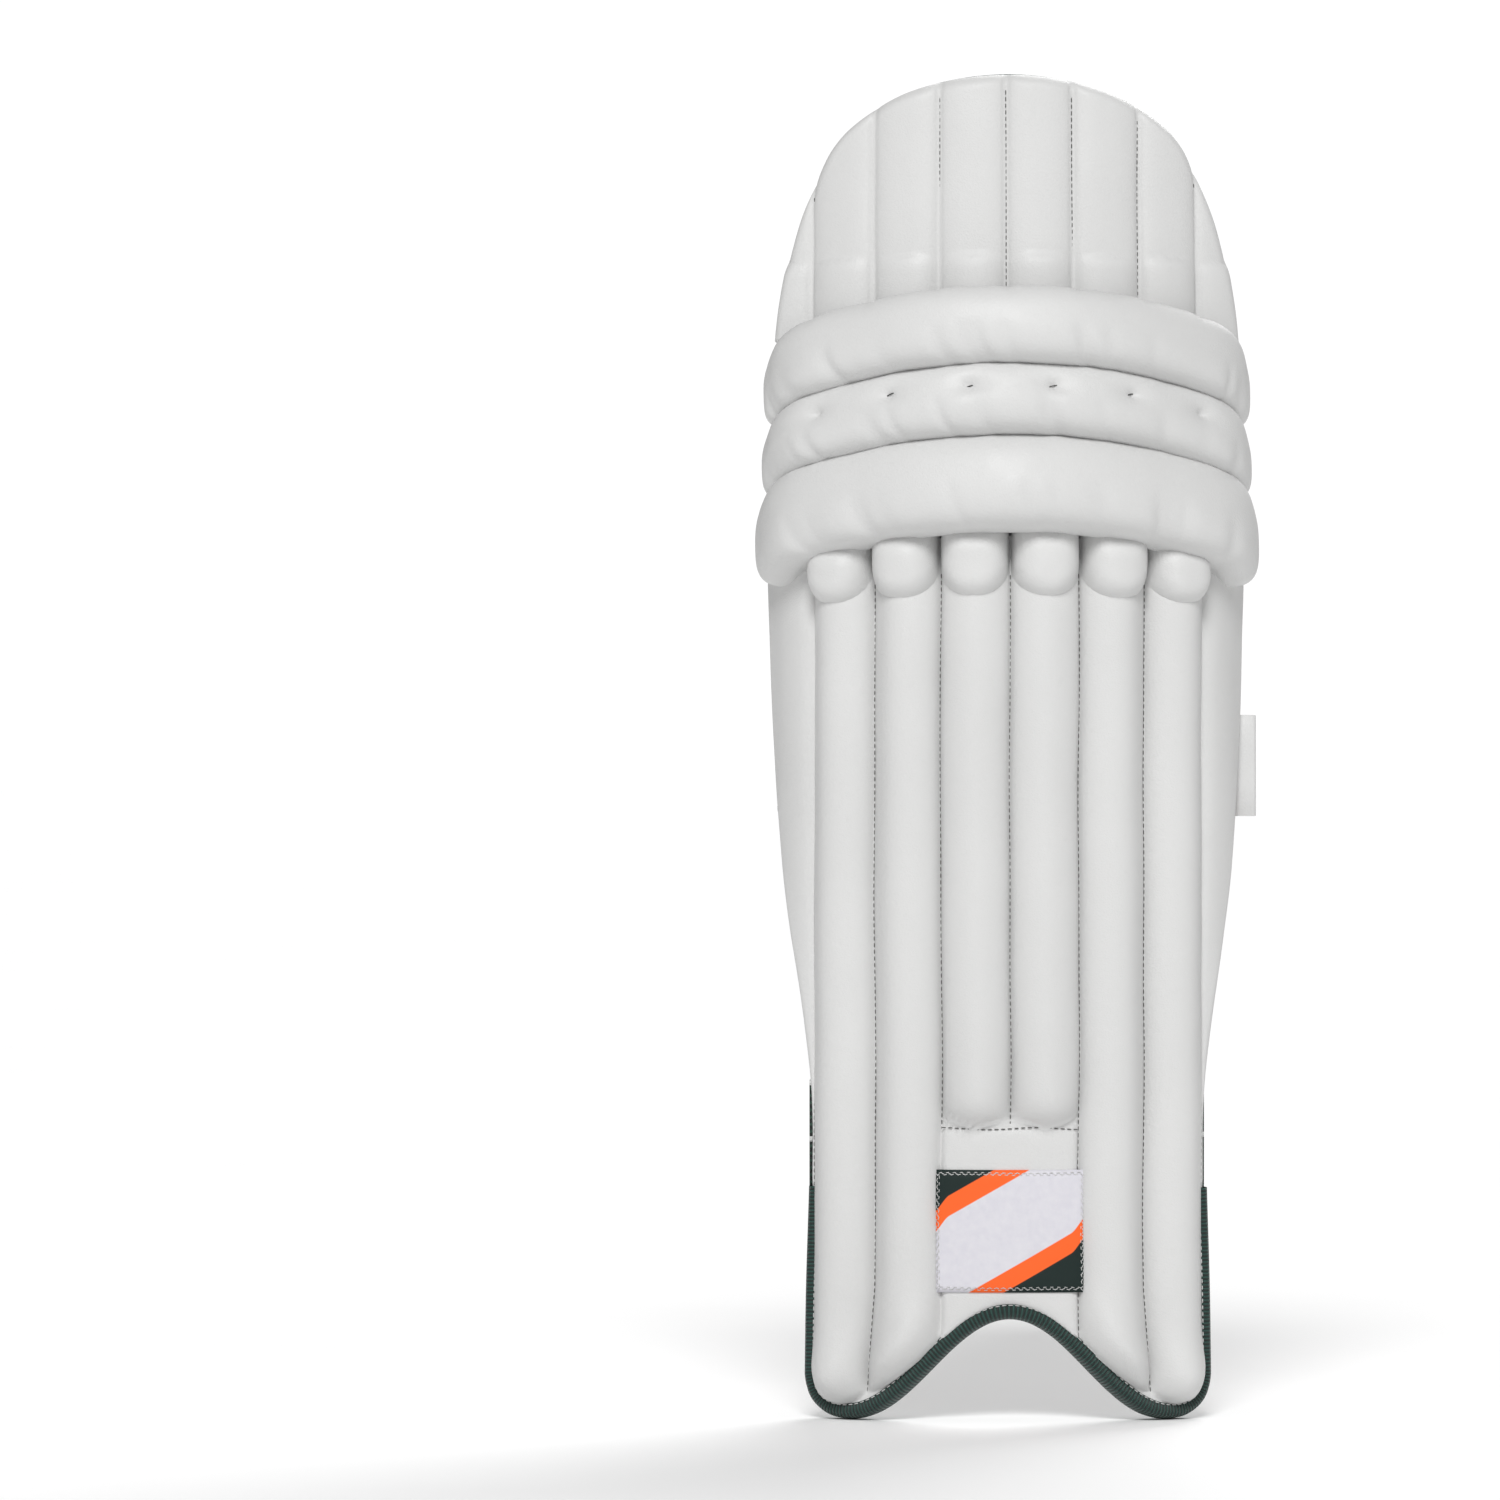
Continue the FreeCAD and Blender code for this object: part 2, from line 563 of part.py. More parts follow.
def make_strap(name):
    """The pieces of one strap: run, folded tip, two patches, anchor in two layers, buckle ring and sewn base."""
    z, width, ring_x, ring_w, y, sewn_x, anchor_x, tip_length = STRAPS[name]
    fold_out = FOLD_IN + WEB
    level = FOLD_IN + WEB / 2
    inner_bar = ring_x - ring_w / 2 + BAR_INSET
    outer_bar = ring_x + ring_w / 2 - BAR_INSET

    run = slab(sewn_x, inner_bar, y - level, z, width)
    run = run.fuse(half_ring(inner_bar, y, FOLD_IN, fold_out, z, width, +1)).removeSplitter()
    notch = box(inner_bar - 2 * fold_out, inner_bar + 1.1, y, y + 2 * fold_out, z - width, z + width)
    run = run.cut(notch)

    slope = math.degrees(math.asin(TIP_RISE / tip_length))
    tip = slab(inner_bar - tip_length, inner_bar, y + level, z, width)
    nose = Part.makeCylinder(WEB / 2, width, Vector(inner_bar, y + level, z - width / 2))
    tip = tip.fuse(nose).removeSplitter()
    hook = slab(inner_bar - tip_length + 2.0, inner_bar - 9.0, y + level - WEB / 2 - 0.25, z, width - 7.0, 0.5)
    for piece in (tip, hook):
        piece.rotate(Vector(inner_bar, y + level, z), Vector(0, 0, 1), slope)

    fuzzy = slab(inner_bar - 70.0, inner_bar - 28.0, y - level + WEB / 2 + 0.25, z, width - 7.0, 0.5)

    foot = LEG_FOOT[name]
    low, high = z - width / 2, z + width / 2
    anchor = half_ring(outer_bar, y, FOLD_IN, fold_out, z, width, -1)
    anchor = anchor.fuse(slab(outer_bar, anchor_x, y - level, z, width))
    anchor = anchor.fuse(slab(outer_bar, outer_bar + 4.0, y + level, z, width))
    anchor = anchor.fuse(box(anchor_x - WEB, anchor_x, foot, y - level, low, high)).removeSplitter()
    sewn_y = y - level + WEB / 2 + TOUCH
    back = box(outer_bar + 2.4, anchor_x, sewn_y, sewn_y + WEB, low, high)
    riser = box(outer_bar + 2.4, outer_bar + 2.4 + WEB, sewn_y, y + level - WEB / 2 - TOUCH, low, high)
    back = back.fuse(riser).removeSplitter()

    ring = make_ring(ring_x, ring_w, y, z, width)
    base = slab(sewn_x - 7.0, sewn_x - 2.0, y - level, z, width)
    base = base.fuse(box(sewn_x - 7.0, sewn_x - 7.0 + WEB, foot, y - level, low, high))
    return run, tip, hook, fuzzy, (anchor, back), ring, base


def make_ring(x, width, y, z, web_width):
    """A moulded two-bar ring: two round bars between two bowed ends."""
    reach = web_width / 2 + 1.0
    bars = [
        Part.makeCylinder(BAR_R, 2 * reach + 2.0, Vector(px, y, z - reach - 1.0))
        for px in (x - width / 2 + BAR_INSET, x + width / 2 - BAR_INSET)
    ]
    ring = bars[0].fuse(bars[1])
    for side in (-1, 1):
        foot, crest = z + side * reach, z + side * (reach + 5.4)
        a, b, c = Vector(x - width / 2, y, foot), Vector(x, y, crest), Vector(x + width / 2, y, foot)
        edges = [arc(a, b, c), line(c, a)]
        end = solid_from(edges, Vector(0, RING_DEPTH, 0))
        end.translate(Vector(0, -RING_DEPTH / 2, 0))
        ring = ring.fuse(end)
    return ring.removeSplitter()


# ---------------------------------------------------------------- assembly
def main():
    os.makedirs(OUT, exist_ok=True)

    outline = shin_outline()
    body_outline = shin_outline(inset=BINDING + 0.2)
    inner_outline = shin_outline(inset=3.5)
    shin_top = tilted_below(SHIN_TOP)
    save("shin_cover", make_shin_cover(body_outline, shin_top))
    for k, bar in enumerate(make_channel_foams(inner_outline, shin_top), 1):
        save(f"channel_foam_{k}", bar)
    save("shin_canes", Part.makeCompound([c for k in range(CHANNELS) for c in canes_in(k)]))
    save("bolster_heads", Part.makeCompound(make_heads(shin_top)))
    save("shin_backing_foam", make_shin_backing(body_outline, shin_top))
    wings = {}
    for side, word in ((-1, "right"), (1, "left")):
        wings[word] = make_wing(side, body_outline, shin_top)
        save(f"wing_{word}", wings[word])
        save(f"wing_lining_{word}", make_wing_lining(side, inner_outline, shin_top))
        save(f"shin_bolster_{word}", make_shin_bolster(side, tilted_below(SHIN_TOP - 6.0)))
    save("centre_shin_pad", make_centre_pad(tilted_below(SHIN_TOP - 6.0)))
    save("instep_lining", make_instep_lining(body_outline))
    edge, lip = make_binding(outline, shin_outline(inset=BINDING))
    save("binding_edge", edge)
    save("binding_lip", lip.cut(shin_outline(inset=12.0)))
    save("emblem_patch", make_emblem_patch())
    save("size_label", make_size_label())
    save("side_tab", make_side_tab())

    for name in ROLLS:
        cover, core = make_roll(name)
        save(f"{name}_roll_cover", cover)
        save(f"{name}_roll_foam", core)
    save("tuft_ties", Part.makeCompound(make_tuft_ties()))
    save("knee_backing_foam", make_knee_backing())
    right, left, cup, ring = make_cradle()
    save("cradle_mesh_right", right)
    save("cradle_mesh_left", left)
    save("knee_cup", cup)
    save("knee_cup_ring", ring)

    flap, foot = flap_outline(), above_flap_foot(tongue=True)
    save("flap_cover", make_flap_cover(flap, above_flap_foot()))
    save("flap_canes", Part.makeCompound(make_flap_canes(flap_outline(inset=3.0), above_flap_foot(2.0))))
    save("flap_foam", make_flap_foam(flap, foot))
    save("flap_lining", make_flap_lining(flap, foot))

    for name in STRAPS:
        run, tip, hook, fuzzy, anchor, ring, base = make_strap(name)
        anchor = Part.makeCompound([largest(layer.cut(wings["left"])) for layer in anchor])
        base = largest(base.cut(wings["right"]))
        save(f"{name}_strap", run)
        save(f"{name}_strap_tip", tip)
        save(f"{name}_hook_patch", hook)
        save(f"{name}_loop_patch", fuzzy)
        save(f"{name}_anchor", anchor)
        save(f"{name}_buckle", ring)
        save(f"{name}_strap_base", base)


main()
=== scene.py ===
"""The look of a cricket batting leg pad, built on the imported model's frame.

Lengths in the tables below are millimetres in the model's frame; meshes are written in metres.
"""

import math
import random
from collections import namedtuple

import bmesh
import bpy
import numpy as np
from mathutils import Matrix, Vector, noise


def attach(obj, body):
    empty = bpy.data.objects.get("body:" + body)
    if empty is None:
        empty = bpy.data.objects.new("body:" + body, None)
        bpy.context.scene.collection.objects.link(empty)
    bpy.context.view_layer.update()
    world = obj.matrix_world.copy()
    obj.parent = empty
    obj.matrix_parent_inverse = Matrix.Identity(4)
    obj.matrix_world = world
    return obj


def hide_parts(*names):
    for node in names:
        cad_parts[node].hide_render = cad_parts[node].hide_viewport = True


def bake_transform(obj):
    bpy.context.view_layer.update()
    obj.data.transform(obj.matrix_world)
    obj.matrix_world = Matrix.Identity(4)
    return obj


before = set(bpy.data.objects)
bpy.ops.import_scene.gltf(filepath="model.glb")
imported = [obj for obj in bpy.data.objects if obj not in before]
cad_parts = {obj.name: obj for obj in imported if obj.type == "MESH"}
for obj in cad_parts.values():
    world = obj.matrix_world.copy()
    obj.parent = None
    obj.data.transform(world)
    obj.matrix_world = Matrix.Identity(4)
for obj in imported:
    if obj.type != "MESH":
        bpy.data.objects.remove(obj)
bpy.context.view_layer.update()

# ---------------------------------------------------------------- driving dimensions
MM = 0.001
FACE_Y = -27.0
FACE_R = 152.0
WING_R = 40.0
FACE_TURN = math.radians(36.5)
WING_TURN = math.radians(72.0)
A_FACE = FACE_R * FACE_TURN  # arc length from the centre plane to a wing
A_WING = A_FACE + WING_R * (WING_TURN - FACE_TURN)  # and to the wing's straight stretch
CHANNELS = 6
CHANNEL = 2 * A_FACE / CHANNELS
TILT = math.radians(17.5)
SHELL = 9.2  # foam behind the face's seam line

ROLL_R, ROLL_TURN = 118.0, math.radians(45.0)
ROLL_SIDE_R, ROLL_SIDE_TURN = 38.0, math.radians(80.0)
ROLL_END, ROLL_OUT = 29.0, 14.0
# height of the middle line, half depth, half height, extra depth at the sides, drop of the ends
ROLLS = {
    "upper": (505.8, 16.2, 18.4, 2.0, 12.0),
    "middle": (471.4, 15.6, 17.2, 3.2, 12.0),
    "lower": (433.2, 18.0, 22.6, 4.4, 10.0),
}

WING_EDGE = (
    (-10.0, 6.8), (60.0, 6.0), (109.0, 4.6), (145.0, 4.0), (168.0, 5.6), (203.0, 9.8), (262.0, 23.0),
    (318.0, 34.6), (388.0, 42.6), (420.0, 44.0),
)
TOE_HALF, TOE_CORNER = 94.0, 16.0
ARCH_HEIGHT, ARCH_HALF = 48.0, 76.0
SHIN_TOP = 413.0
SHORT_CHANNEL_Z = 138.0
BINDING_TOP = 109.0
BINDING_LIP = 6.2  # height of the binding's front lip
INSTEP_HALF = 87.0
INSTEP_TOP = 124.0
INSTEP_SEAMS = (-67.0, -39.0, 25.0, 54.0)
HEAD_FOOT, HEAD_TOP, HEAD_SWELL, HEAD_BOW = 382.5, 417.5, 17.6, 14.5
SHELL_MIDDLE = -3.6  # where the shell's front and back meet
WING_LINING = (152.0, 395.0, 90.5)  # foot, top, arc length of the inner edge
BINDING_FOLD = (  # inset and depth of the tape's outside, then of its inside
    (BINDING_LIP, 1.3, BINDING_LIP, 0.4), (4.6, 2.1, 4.6, 1.2), (2.4, 2.5, 2.4, 1.6), (0.4, 1.4, 1.3, 0.5),
    (-0.8, -1.2, 0.1, -1.5), (-1.4, -4.6, -0.5, -4.6), (-1.2, -8.0, -0.3, -8.0), (0.0, -11.2, 0.9, -10.8),
    (1.6, -12.8, 2.3, -12.0), (4.0, -14.8, 4.3, -13.9), (8.0, -16.2, 8.1, -15.3), (11.0, -16.8, 11.0, -15.9),
)

FLAP_SIDE = (
    (480.0, 110.6), (500.0, 109.8), (520.0, 107.6), (543.0, 103.6), (567.0, 97.3), (590.0, 87.8),
    (602.0, 80.2), (613.0, 67.6), (620.0, 55.6), (625.0, 42.0), (628.6, 25.0), (630.0, 10.0),
)
FLAP_SET_BACK, FLAP_LEAN, FLAP_PIVOT_Z = 8.5, math.radians(-4.0), 527.5
FLAP_GRID_HALF = 109.6
FLAP_BACK = 5.6  # foam behind the flap's middle surface, FLAP_MIDDLE
FLAP_MIDDLE = -4.0
FLAP_SEAMS = (-90.0, -62.0, -32.5, -1.5, 29.5, 60.0, 87.0)

Strap = namedtuple("Strap", "z width ring_x ring_w y swing_x anchor_x tip foot skew bow")
STRAPS = {  # y is the ring's; foot is where the sewn ends leave the pad
    "knee": Strap(426.0, 27.0, 90.0, 24.0, 56.4, -104.5, 112.0, 26.0, 50.0, 0.0, 0.0),
    "calf": Strap(311.0, 55.0, 75.5, 26.0, 43.2, -101.5, 106.0, 24.0, 36.0, -0.006, 0.8),
    "ankle": Strap(132.0, 55.0, 67.0, 26.0, 27.6, -86.5, 92.0, 20.0, 5.0, 0.012, -1.0),
}
STRAP_HALF = 95.0  # a strap bows over this distance either side of the middle
BAR_INSET = 6.5
WEB = 1.6
FOLD = 3.2  # from a bar's middle to the webbing's middle
TIP_DROP = 4.0  # a folded tip comes down this far to its strap

CRADLE_HALF = 108.0
CRADLE_FLAT_X, CRADLE_Y = 86.0, 46.8  # the sling's sides are flat beyond this x, at this depth
CRADLE_HEM = 1.5  # from the sling's line to its hems and middle
HEX_Z, HEX_HALF = 437.5, 48.5
HEX_CORNERS = ((46.0, 0.0), (22.0, 1.0), (-22.0, 1.0), (-46.0, 0.0), (-21.0, -1.0), (21.0, -1.0))
CUP_BACK = 3.6  # how far the padded hexagon swells behind
PATCH_HALF, PATCH_FOOT, PATCH_TOP = 34.5, 61.0, 118.0
TUFTS = [(k - 2.5) * 35.0 for k in range(6)]

WHITE = (0.625, 0.625, 0.620)
COTTON_GREEN = (0.006, 0.055, 0.040)
ORANGE = (0.88, 0.125, 0.020)
WEB_GREEN = (0.003, 0.013, 0.009)
THREAD_GREY = (0.12, 0.12, 0.115)

SKY_LIGHT = 0.28
LAMPS = (  # name, direction it comes from, strength, width in degrees
    ("front", (-0.06, -1.0, 0.80), 2.3, 20.0),
    ("back", (0.35, 1.0, 0.85), 1.7, 35.0),
)


# ---------------------------------------------------------------- node materials
class Look:
    """A node material, with short calls to add its nodes."""

    def __init__(self, name, colour, roughness, **sockets):
        self.material = bpy.data.materials.new(name)
        self.material.use_nodes = True
        self.tree = self.material.node_tree
        self.shader = self.tree.nodes["Principled BSDF"]
        self.shader.inputs["Base Color"].default_value = (*colour, 1.0)
        self.shader.inputs["Roughness"].default_value = roughness
        for socket, value in sockets.items():
            self.shader.inputs[socket.replace("_", " ")].default_value = value
        self.place = self.node("TexCoord")

    def node(self, kind, **settings):
        made = self.tree.nodes.new("ShaderNode" + kind)
        for key, value in settings.items():
            setattr(made, key, value)
        return made

    def wire(self, value, socket):
        """Links an output to a socket, or sets the socket to a number."""
        if isinstance(value, bpy.types.NodeSocket):
            self.tree.links.new(value, socket)
        else:
            socket.default_value = value

    def maths(self, operation, *values):
        made = self.node("Math", operation=operation)
        for value, socket in zip(values, made.inputs):
            self.wire(value, socket)
        return made.outputs[0]

    def noise(self, scale, detail=3.0, roughness=0.5):
        made = self.node("TexNoise")
        self.wire(self.place.outputs["Object"], made.inputs["Vector"])
        for name, value in (("Scale", scale), ("Detail", detail), ("Roughness", roughness)):
            made.inputs[name].default_value = value
        return made.outputs["Fac"]

    def cells(self, scale):
        made = self.node("TexVoronoi")
        self.wire(self.place.outputs["Object"], made.inputs["Vector"])
        made.inputs["Scale"].default_value = scale
        return made.outputs["Distance"]

    def wave(self, value, pitch):
        """A sine along a length, with its crests pitch mm apart."""
        return self.maths("SINE", self.maths("MULTIPLY", value, 2 * math.pi / (pitch * MM)))

    def spread(self, value, low, high, to_low=0.0, to_high=1.0, smooth=False):
        made = self.node("MapRange", interpolation_type="SMOOTHSTEP" if smooth else "LINEAR")
        names = ("Value", "From Min", "From Max", "To Min", "To Max")
        for number, name in zip((value, low, high, to_low, to_high), names):
            self.wire(number, made.inputs[name])
        return made.outputs["Result"]

    def mix(self, factor, a, b):
        made = self.node("Mix", data_type="RGBA")
        self.wire(factor, made.inputs["Factor"])
        for value, socket in ((a, made.inputs[6]), (b, made.inputs[7])):
            self.wire(value if isinstance(value, bpy.types.NodeSocket) else (*value, 1.0), socket)
        return made.outputs[2]

    def uv(self):
        """The two lengths along a piece, in metres, as separate values."""
        made = self.node("SeparateXYZ")
        self.wire(self.place.outputs["UV"], made.inputs[0])
        return made.outputs["X"], made.outputs["Y"]

    def colour(self, socket):
        self.wire(socket, self.shader.inputs["Base Color"])

    def roughness(self, socket):
        self.wire(socket, self.shader.inputs["Roughness"])

    def bump(self, *layers):
        """Layers of (height value, distance in mm), each on top of the last."""
        normal = None
        for height, depth in layers:
            made = self.node("Bump")
            made.inputs["Distance"].default_value = depth * MM
            self.wire(height, made.inputs["Height"])
            if normal is not None:
                self.wire(normal, made.inputs["Normal"])
            normal = made.outputs["Normal"]
        self.wire(normal, self.shader.inputs["Normal"])


KEEP_POSITIVE = 100.0  # whole cells added so that no place is below 0


def lattice(look, u, v, pitch_u, pitch_v):
    """Distance in mm from the nearest dot of a staggered lattice."""
    distances = []
    for shift in (0.0, 0.5):
        parts = []
        for value, pitch in ((u, pitch_u), (v, pitch_v)):
            cells = look.maths("ADD", look.maths("DIVIDE", value, pitch * MM), KEEP_POSITIVE + shift)
            cell = look.maths("FRACT", cells)
            parts.append(look.maths("MULTIPLY", look.maths("SUBTRACT", cell, 0.5), pitch))
        squares = [look.maths("MULTIPLY", p, p) for p in parts]
        distances.append(look.maths("SQRT", look.maths("ADD", *squares)))
    return look.maths("MINIMUM", *distances)


def stripe(look, value, centre, half, soft=0.15):
    """1 within half mm of the line at centre mm, 0 outside."""
    away = look.maths("ABSOLUTE", look.maths("SUBTRACT", value, centre * MM))
    return look.spread(away, (half - soft) * MM, (half + soft) * MM, 1.0, 0.0, smooth=True)


def coated_look(name="coated_cover", tint=WHITE):
    """Coated fabric with a fine grain, a little worn."""
    look = Look(name, tint, 0.50, Coat_Weight=0.03, Coat_Roughness=0.4, Specular_IOR_Level=0.36)
    soft = look.noise(9.0, 2.0)
    fine = look.noise(240.0, 4.0)
    dull, bright = [c * 0.965 for c in tint], [min(1.0, c * 1.02) for c in tint]
    shade = look.mix(look.spread(soft, 0.3, 0.7), dull, bright)
    worn = look.mix(look.spread(fine, 0.62, 0.78, 0.0, 0.22), shade, [c * 0.9 for c in tint])
    look.colour(worn)
    look.roughness(look.spread(look.noise(60.0, 3.0), 0.3, 0.7, 0.44, 0.58))
    look.bump((look.noise(26.0, 3.0), 0.5), (look.cells(1150.0), 0.09), (look.noise(700.0, 2.0), 0.05))
    return look.material


def cotton_look():
    """Woven cotton with slubs."""
    look = Look("cotton_lining", COTTON_GREEN, 0.86, Sheen_Weight=0.12, Sheen_Roughness=0.5)
    u, v = look.uv()
    warp = look.wave(u, 0.75)
    weft = look.wave(v, 0.75)
    weave = look.maths("MULTIPLY", warp, weft)
    slub = look.noise(34.0, 6.0, 0.7)
    light = look.mix(look.spread(slub, 0.3, 0.75), COTTON_GREEN, [c * 1.7 + 0.004 for c in COTTON_GREEN])
    look.colour(look.mix(look.spread(weave, -1.0, 1.0, 0.0, 0.45), light, [c * 0.45 for c in COTTON_GREEN]))
    look.bump((look.noise(22.0, 3.0), 0.7), (weave, 0.10), (slub, 0.12))
    return look.material


def nylon_look():
    look = Look("orange_nylon", ORANGE, 0.6, Sheen_Weight=0.15)
    _, v = look.uv()
    rib = look.wave(v, 1.1)
    look.colour(look.mix(look.spread(look.noise(40.0, 4.0), 0.3, 0.75), ORANGE, (0.92, 0.17, 0.034)))
    look.bump((look.noise(30.0, 3.0), 0.6), (rib, 0.05))
    return look.material


def mesh_look(name, pitch, hole, base, dark):
    """Knitted spacer mesh with a hexagonal lattice of round holes."""
    look = Look(name, base, 0.78, Sheen_Weight=0.1)
    u, v = look.uv()
    away = lattice(look, u, v, pitch, pitch * math.sqrt(3.0))
    hollow = look.spread(away, hole / 2 - 0.22, hole / 2 + 0.22, 1.0, 0.0, smooth=True)
    knit = look.wave(look.maths("ADD", u, v), 0.9)
    fabric = look.mix(look.spread(knit, -1.0, 1.0, 0.0, 0.35), base, [c * 0.72 for c in base])
    look.colour(look.mix(hollow, fabric, dark))
    look.roughness(look.spread(hollow, 0.0, 1.0, 0.72, 0.95))
    look.bump((look.maths("MULTIPLY", hollow, -1.0), 0.8), (knit, 0.08))
    return look.material


def webbing_look(name, width):
    """Woven webbing with white stripes along both edges and down the middle."""
    look = Look(name, WEB_GREEN, 0.66, Sheen_Weight=0.1)
    u, v = look.uv()
    row = look.wave(u, 3.0)
    dots = lattice(look, u, v, 3.0, 3.4)
    bead = look.spread(dots, 0.25, 1.25, 1.0, 0.0, smooth=True)
    green = look.mix(look.spread(bead, 0.25, 1.0), [c * 0.5 for c in WEB_GREEN], (0.018, 0.050, 0.034))
    slanted = look.wave(look.maths("ADD", u, look.maths("ABSOLUTE", v)), 1.7)
    white = look.mix(look.spread(slanted, -1.0, 1.0), (0.74, 0.75, 0.74), (0.50, 0.51, 0.50))
    edge = width / 2
    bands = look.maths("ADD", stripe(look, v, 0.0, 1.15), stripe(look, v, edge, 2.3))
    bands = look.maths("MINIMUM", look.maths("ADD", bands, stripe(look, v, -edge, 2.3)), 1.0)
    look.colour(look.mix(bands, green, white))
    height = look.maths("ADD", bead, look.maths("MULTIPLY", row, 0.12))
    look.bump((look.noise(120.0, 2.0), 0.12), (height, 0.28), (look.maths("MULTIPLY", slanted, bands), 0.1))
    return look.material


def ribbed_look():
    """Binding tape with ribs across it."""
    look = Look("ribbed_binding", WEB_GREEN, 0.6, Sheen_Weight=0.1)
    u, _ = look.uv()
    rib = look.wave(u, 1.8)
    look.colour(look.mix(look.spread(rib, -0.6, 1.0), (0.002, 0.010, 0.008), (0.013, 0.058, 0.046)))
    look.bump((rib, 0.30), (look.noise(900.0, 2.0), 0.05))
    return look.material


def moulded_look():
    look = Look("moulded_black", (0.006, 0.006, 0.007), 0.24, Specular_IOR_Level=0.5)
    look.roughness(look.spread(look.noise(180.0, 3.0), 0.35, 0.7, 0.2, 0.36))
    look.bump((look.noise(60.0, 2.0), 0.25), (look.noise(1400.0, 2.0), 0.02))
    return look.material


def thread_look(name, colour):
    look = Look(name, colour, 0.6)
    u, v = look.uv()
    twist = look.wave(look.maths("ADD", u, v), 0.6)
    look.colour(look.mix(look.spread(twist, -1.0, 1.0), colour, [c * 0.6 for c in colour]))
    look.bump((twist, 0.06))
    return look.material


def patch_look(half_w, half_h):
    """A printed patch: white field, two green corners and an orange band inside each."""
    look = Look("printed_patch", (0.62, 0.61, 0.65), 0.55, Specular_IOR_Level=0.25)
    u, v = look.uv()
    right = look.maths("MULTIPLY", u, 1.0 / (half_w * MM))
    up = look.maths("MULTIPLY", v, 1.0 / (half_h * MM))
    hook = look.spread(look.maths("ABSOLUTE", right), 0.80, 1.0, 0.0, 0.13, smooth=True)
    turn = look.maths("MULTIPLY", look.maths("SIGN", right), hook)
    slant = look.maths("ADD", look.maths("MULTIPLY", right, 0.716), turn)
    above = look.maths("SUBTRACT", up, slant)
    below = look.maths("SUBTRACT", slant, up)
    corner = look.maths("MAXIMUM", look.spread(above, 1.150, 1.165), look.spread(below, 0.930, 0.945))
    band = look.maths("MAXIMUM", look.spread(above, 0.815, 0.83), look.spread(below, 0.600, 0.615))
    field = look.mix(look.spread(look.noise(300.0, 2.0), 0.3, 0.7), (0.61, 0.60, 0.65), (0.65, 0.64, 0.68))
    orange = look.mix(band, field, ORANGE)
    look.colour(look.mix(corner, orange, (0.008, 0.018, 0.016)))
    look.bump((look.noise(900.0, 2.0), 0.04))
    return look.material


def label_look():
    look = Look("satin_label", (0.80, 0.80, 0.80), 0.5)
    _, v = look.uv()
    weave = look.wave(v, 0.6)
    look.colour(look.mix(look.spread(weave, -1.0, 1.0), (0.86, 0.86, 0.86), (0.74, 0.74, 0.75)))
    look.bump((weave, 0.05))
    return look.material


def plain_fabric(name, colour, dark):
    """Hook tape and loop tape: a fuzzy surface in two tones."""
    look = Look(name, colour, 0.9, Sheen_Weight=0.2)
    fuzz = look.noise(1500.0, 3.0)
    look.colour(look.mix(look.spread(fuzz, 0.35, 0.65), colour, dark))
    look.bump((fuzz, 0.25))
    return look.material


LOOKS = {
    "cover": coated_look(),
    "cotton": cotton_look(),
    "nylon": nylon_look(),
    "cradle_mesh": mesh_look("cradle_mesh_fabric", 4.0, 2.75, (0.66, 0.68, 0.68), (0.008, 0.022, 0.020)),
    "bolster_mesh": mesh_look("bolster_mesh_fabric", 3.5, 2.1, (0.46, 0.50, 0.52), (0.035, 0.055, 0.062)),
    "binding": ribbed_look(),
    "plastic": moulded_look(),
    "grey_thread": thread_look("grey_thread", THREAD_GREY),
    "white_thread": thread_look("white_thread", (0.78, 0.78, 0.77)),
    "dark_thread": thread_look("dark_thread", (0.02, 0.025, 0.022)),
    "patch": patch_look(PATCH_HALF, (PATCH_TOP - PATCH_FOOT) / 2),
    "label": label_look(),
    "piping": coated_look("green_piping", (0.012, 0.05, 0.04)),
    "ring_orange": coated_look("orange_print", ORANGE),
    "hex_green": coated_look("green_print", (0.006, 0.026, 0.022)),
    "loop": plain_fabric("loop_tape", (0.012, 0.03, 0.024), (0.003, 0.009, 0.007)),
    "hook": plain_fabric("hook_tape", (0.02, 0.024, 0.022), (0.004, 0.006, 0.005)),
}
for name, strap in STRAPS.items():
    LOOKS[f"{name}_web"] = webbing_look(f"{name}_webbing", strap.width)


# ---------------------------------------------------------------- mesh helpers
def smooth_noise(x, y, z, scale, seed=0.0):
    """Smooth noise from -1 to 1 at every point, with lumps about scale mm across."""
    shape = np.shape(x + y + z)
    flat = np.stack([np.broadcast_to(v, shape).ravel() for v in (x, y, z)], axis=1) / scale + seed
    return np.array([noise.noise(Vector(p)) for p in flat]).reshape(shape)


def ripple(a, z, scale, seed=0.0):
    """Smooth noise over a sheet."""
    return smooth_noise(a, 0 * a, z, scale, seed)


def unit(value):
    """The value, kept from 0 to 1."""
    return np.clip(value, 0, 1)


def ease(value):
    """From 0 to 1 with a slow start and a slow end."""
    return value * value * (3 - 2 * value)


def dome(h, r):
    """A quarter circle's height: 0 at h = 0 and 1 from h = r."""
    t = 1.0 - unit(h / r)
    return np.sqrt(unit(1.0 - t * t))


def lengths(points):
    """How far each point of a line is from its start."""
    return np.concatenate([[0.0], np.cumsum(np.linalg.norm(np.diff(points, axis=0), axis=1))])


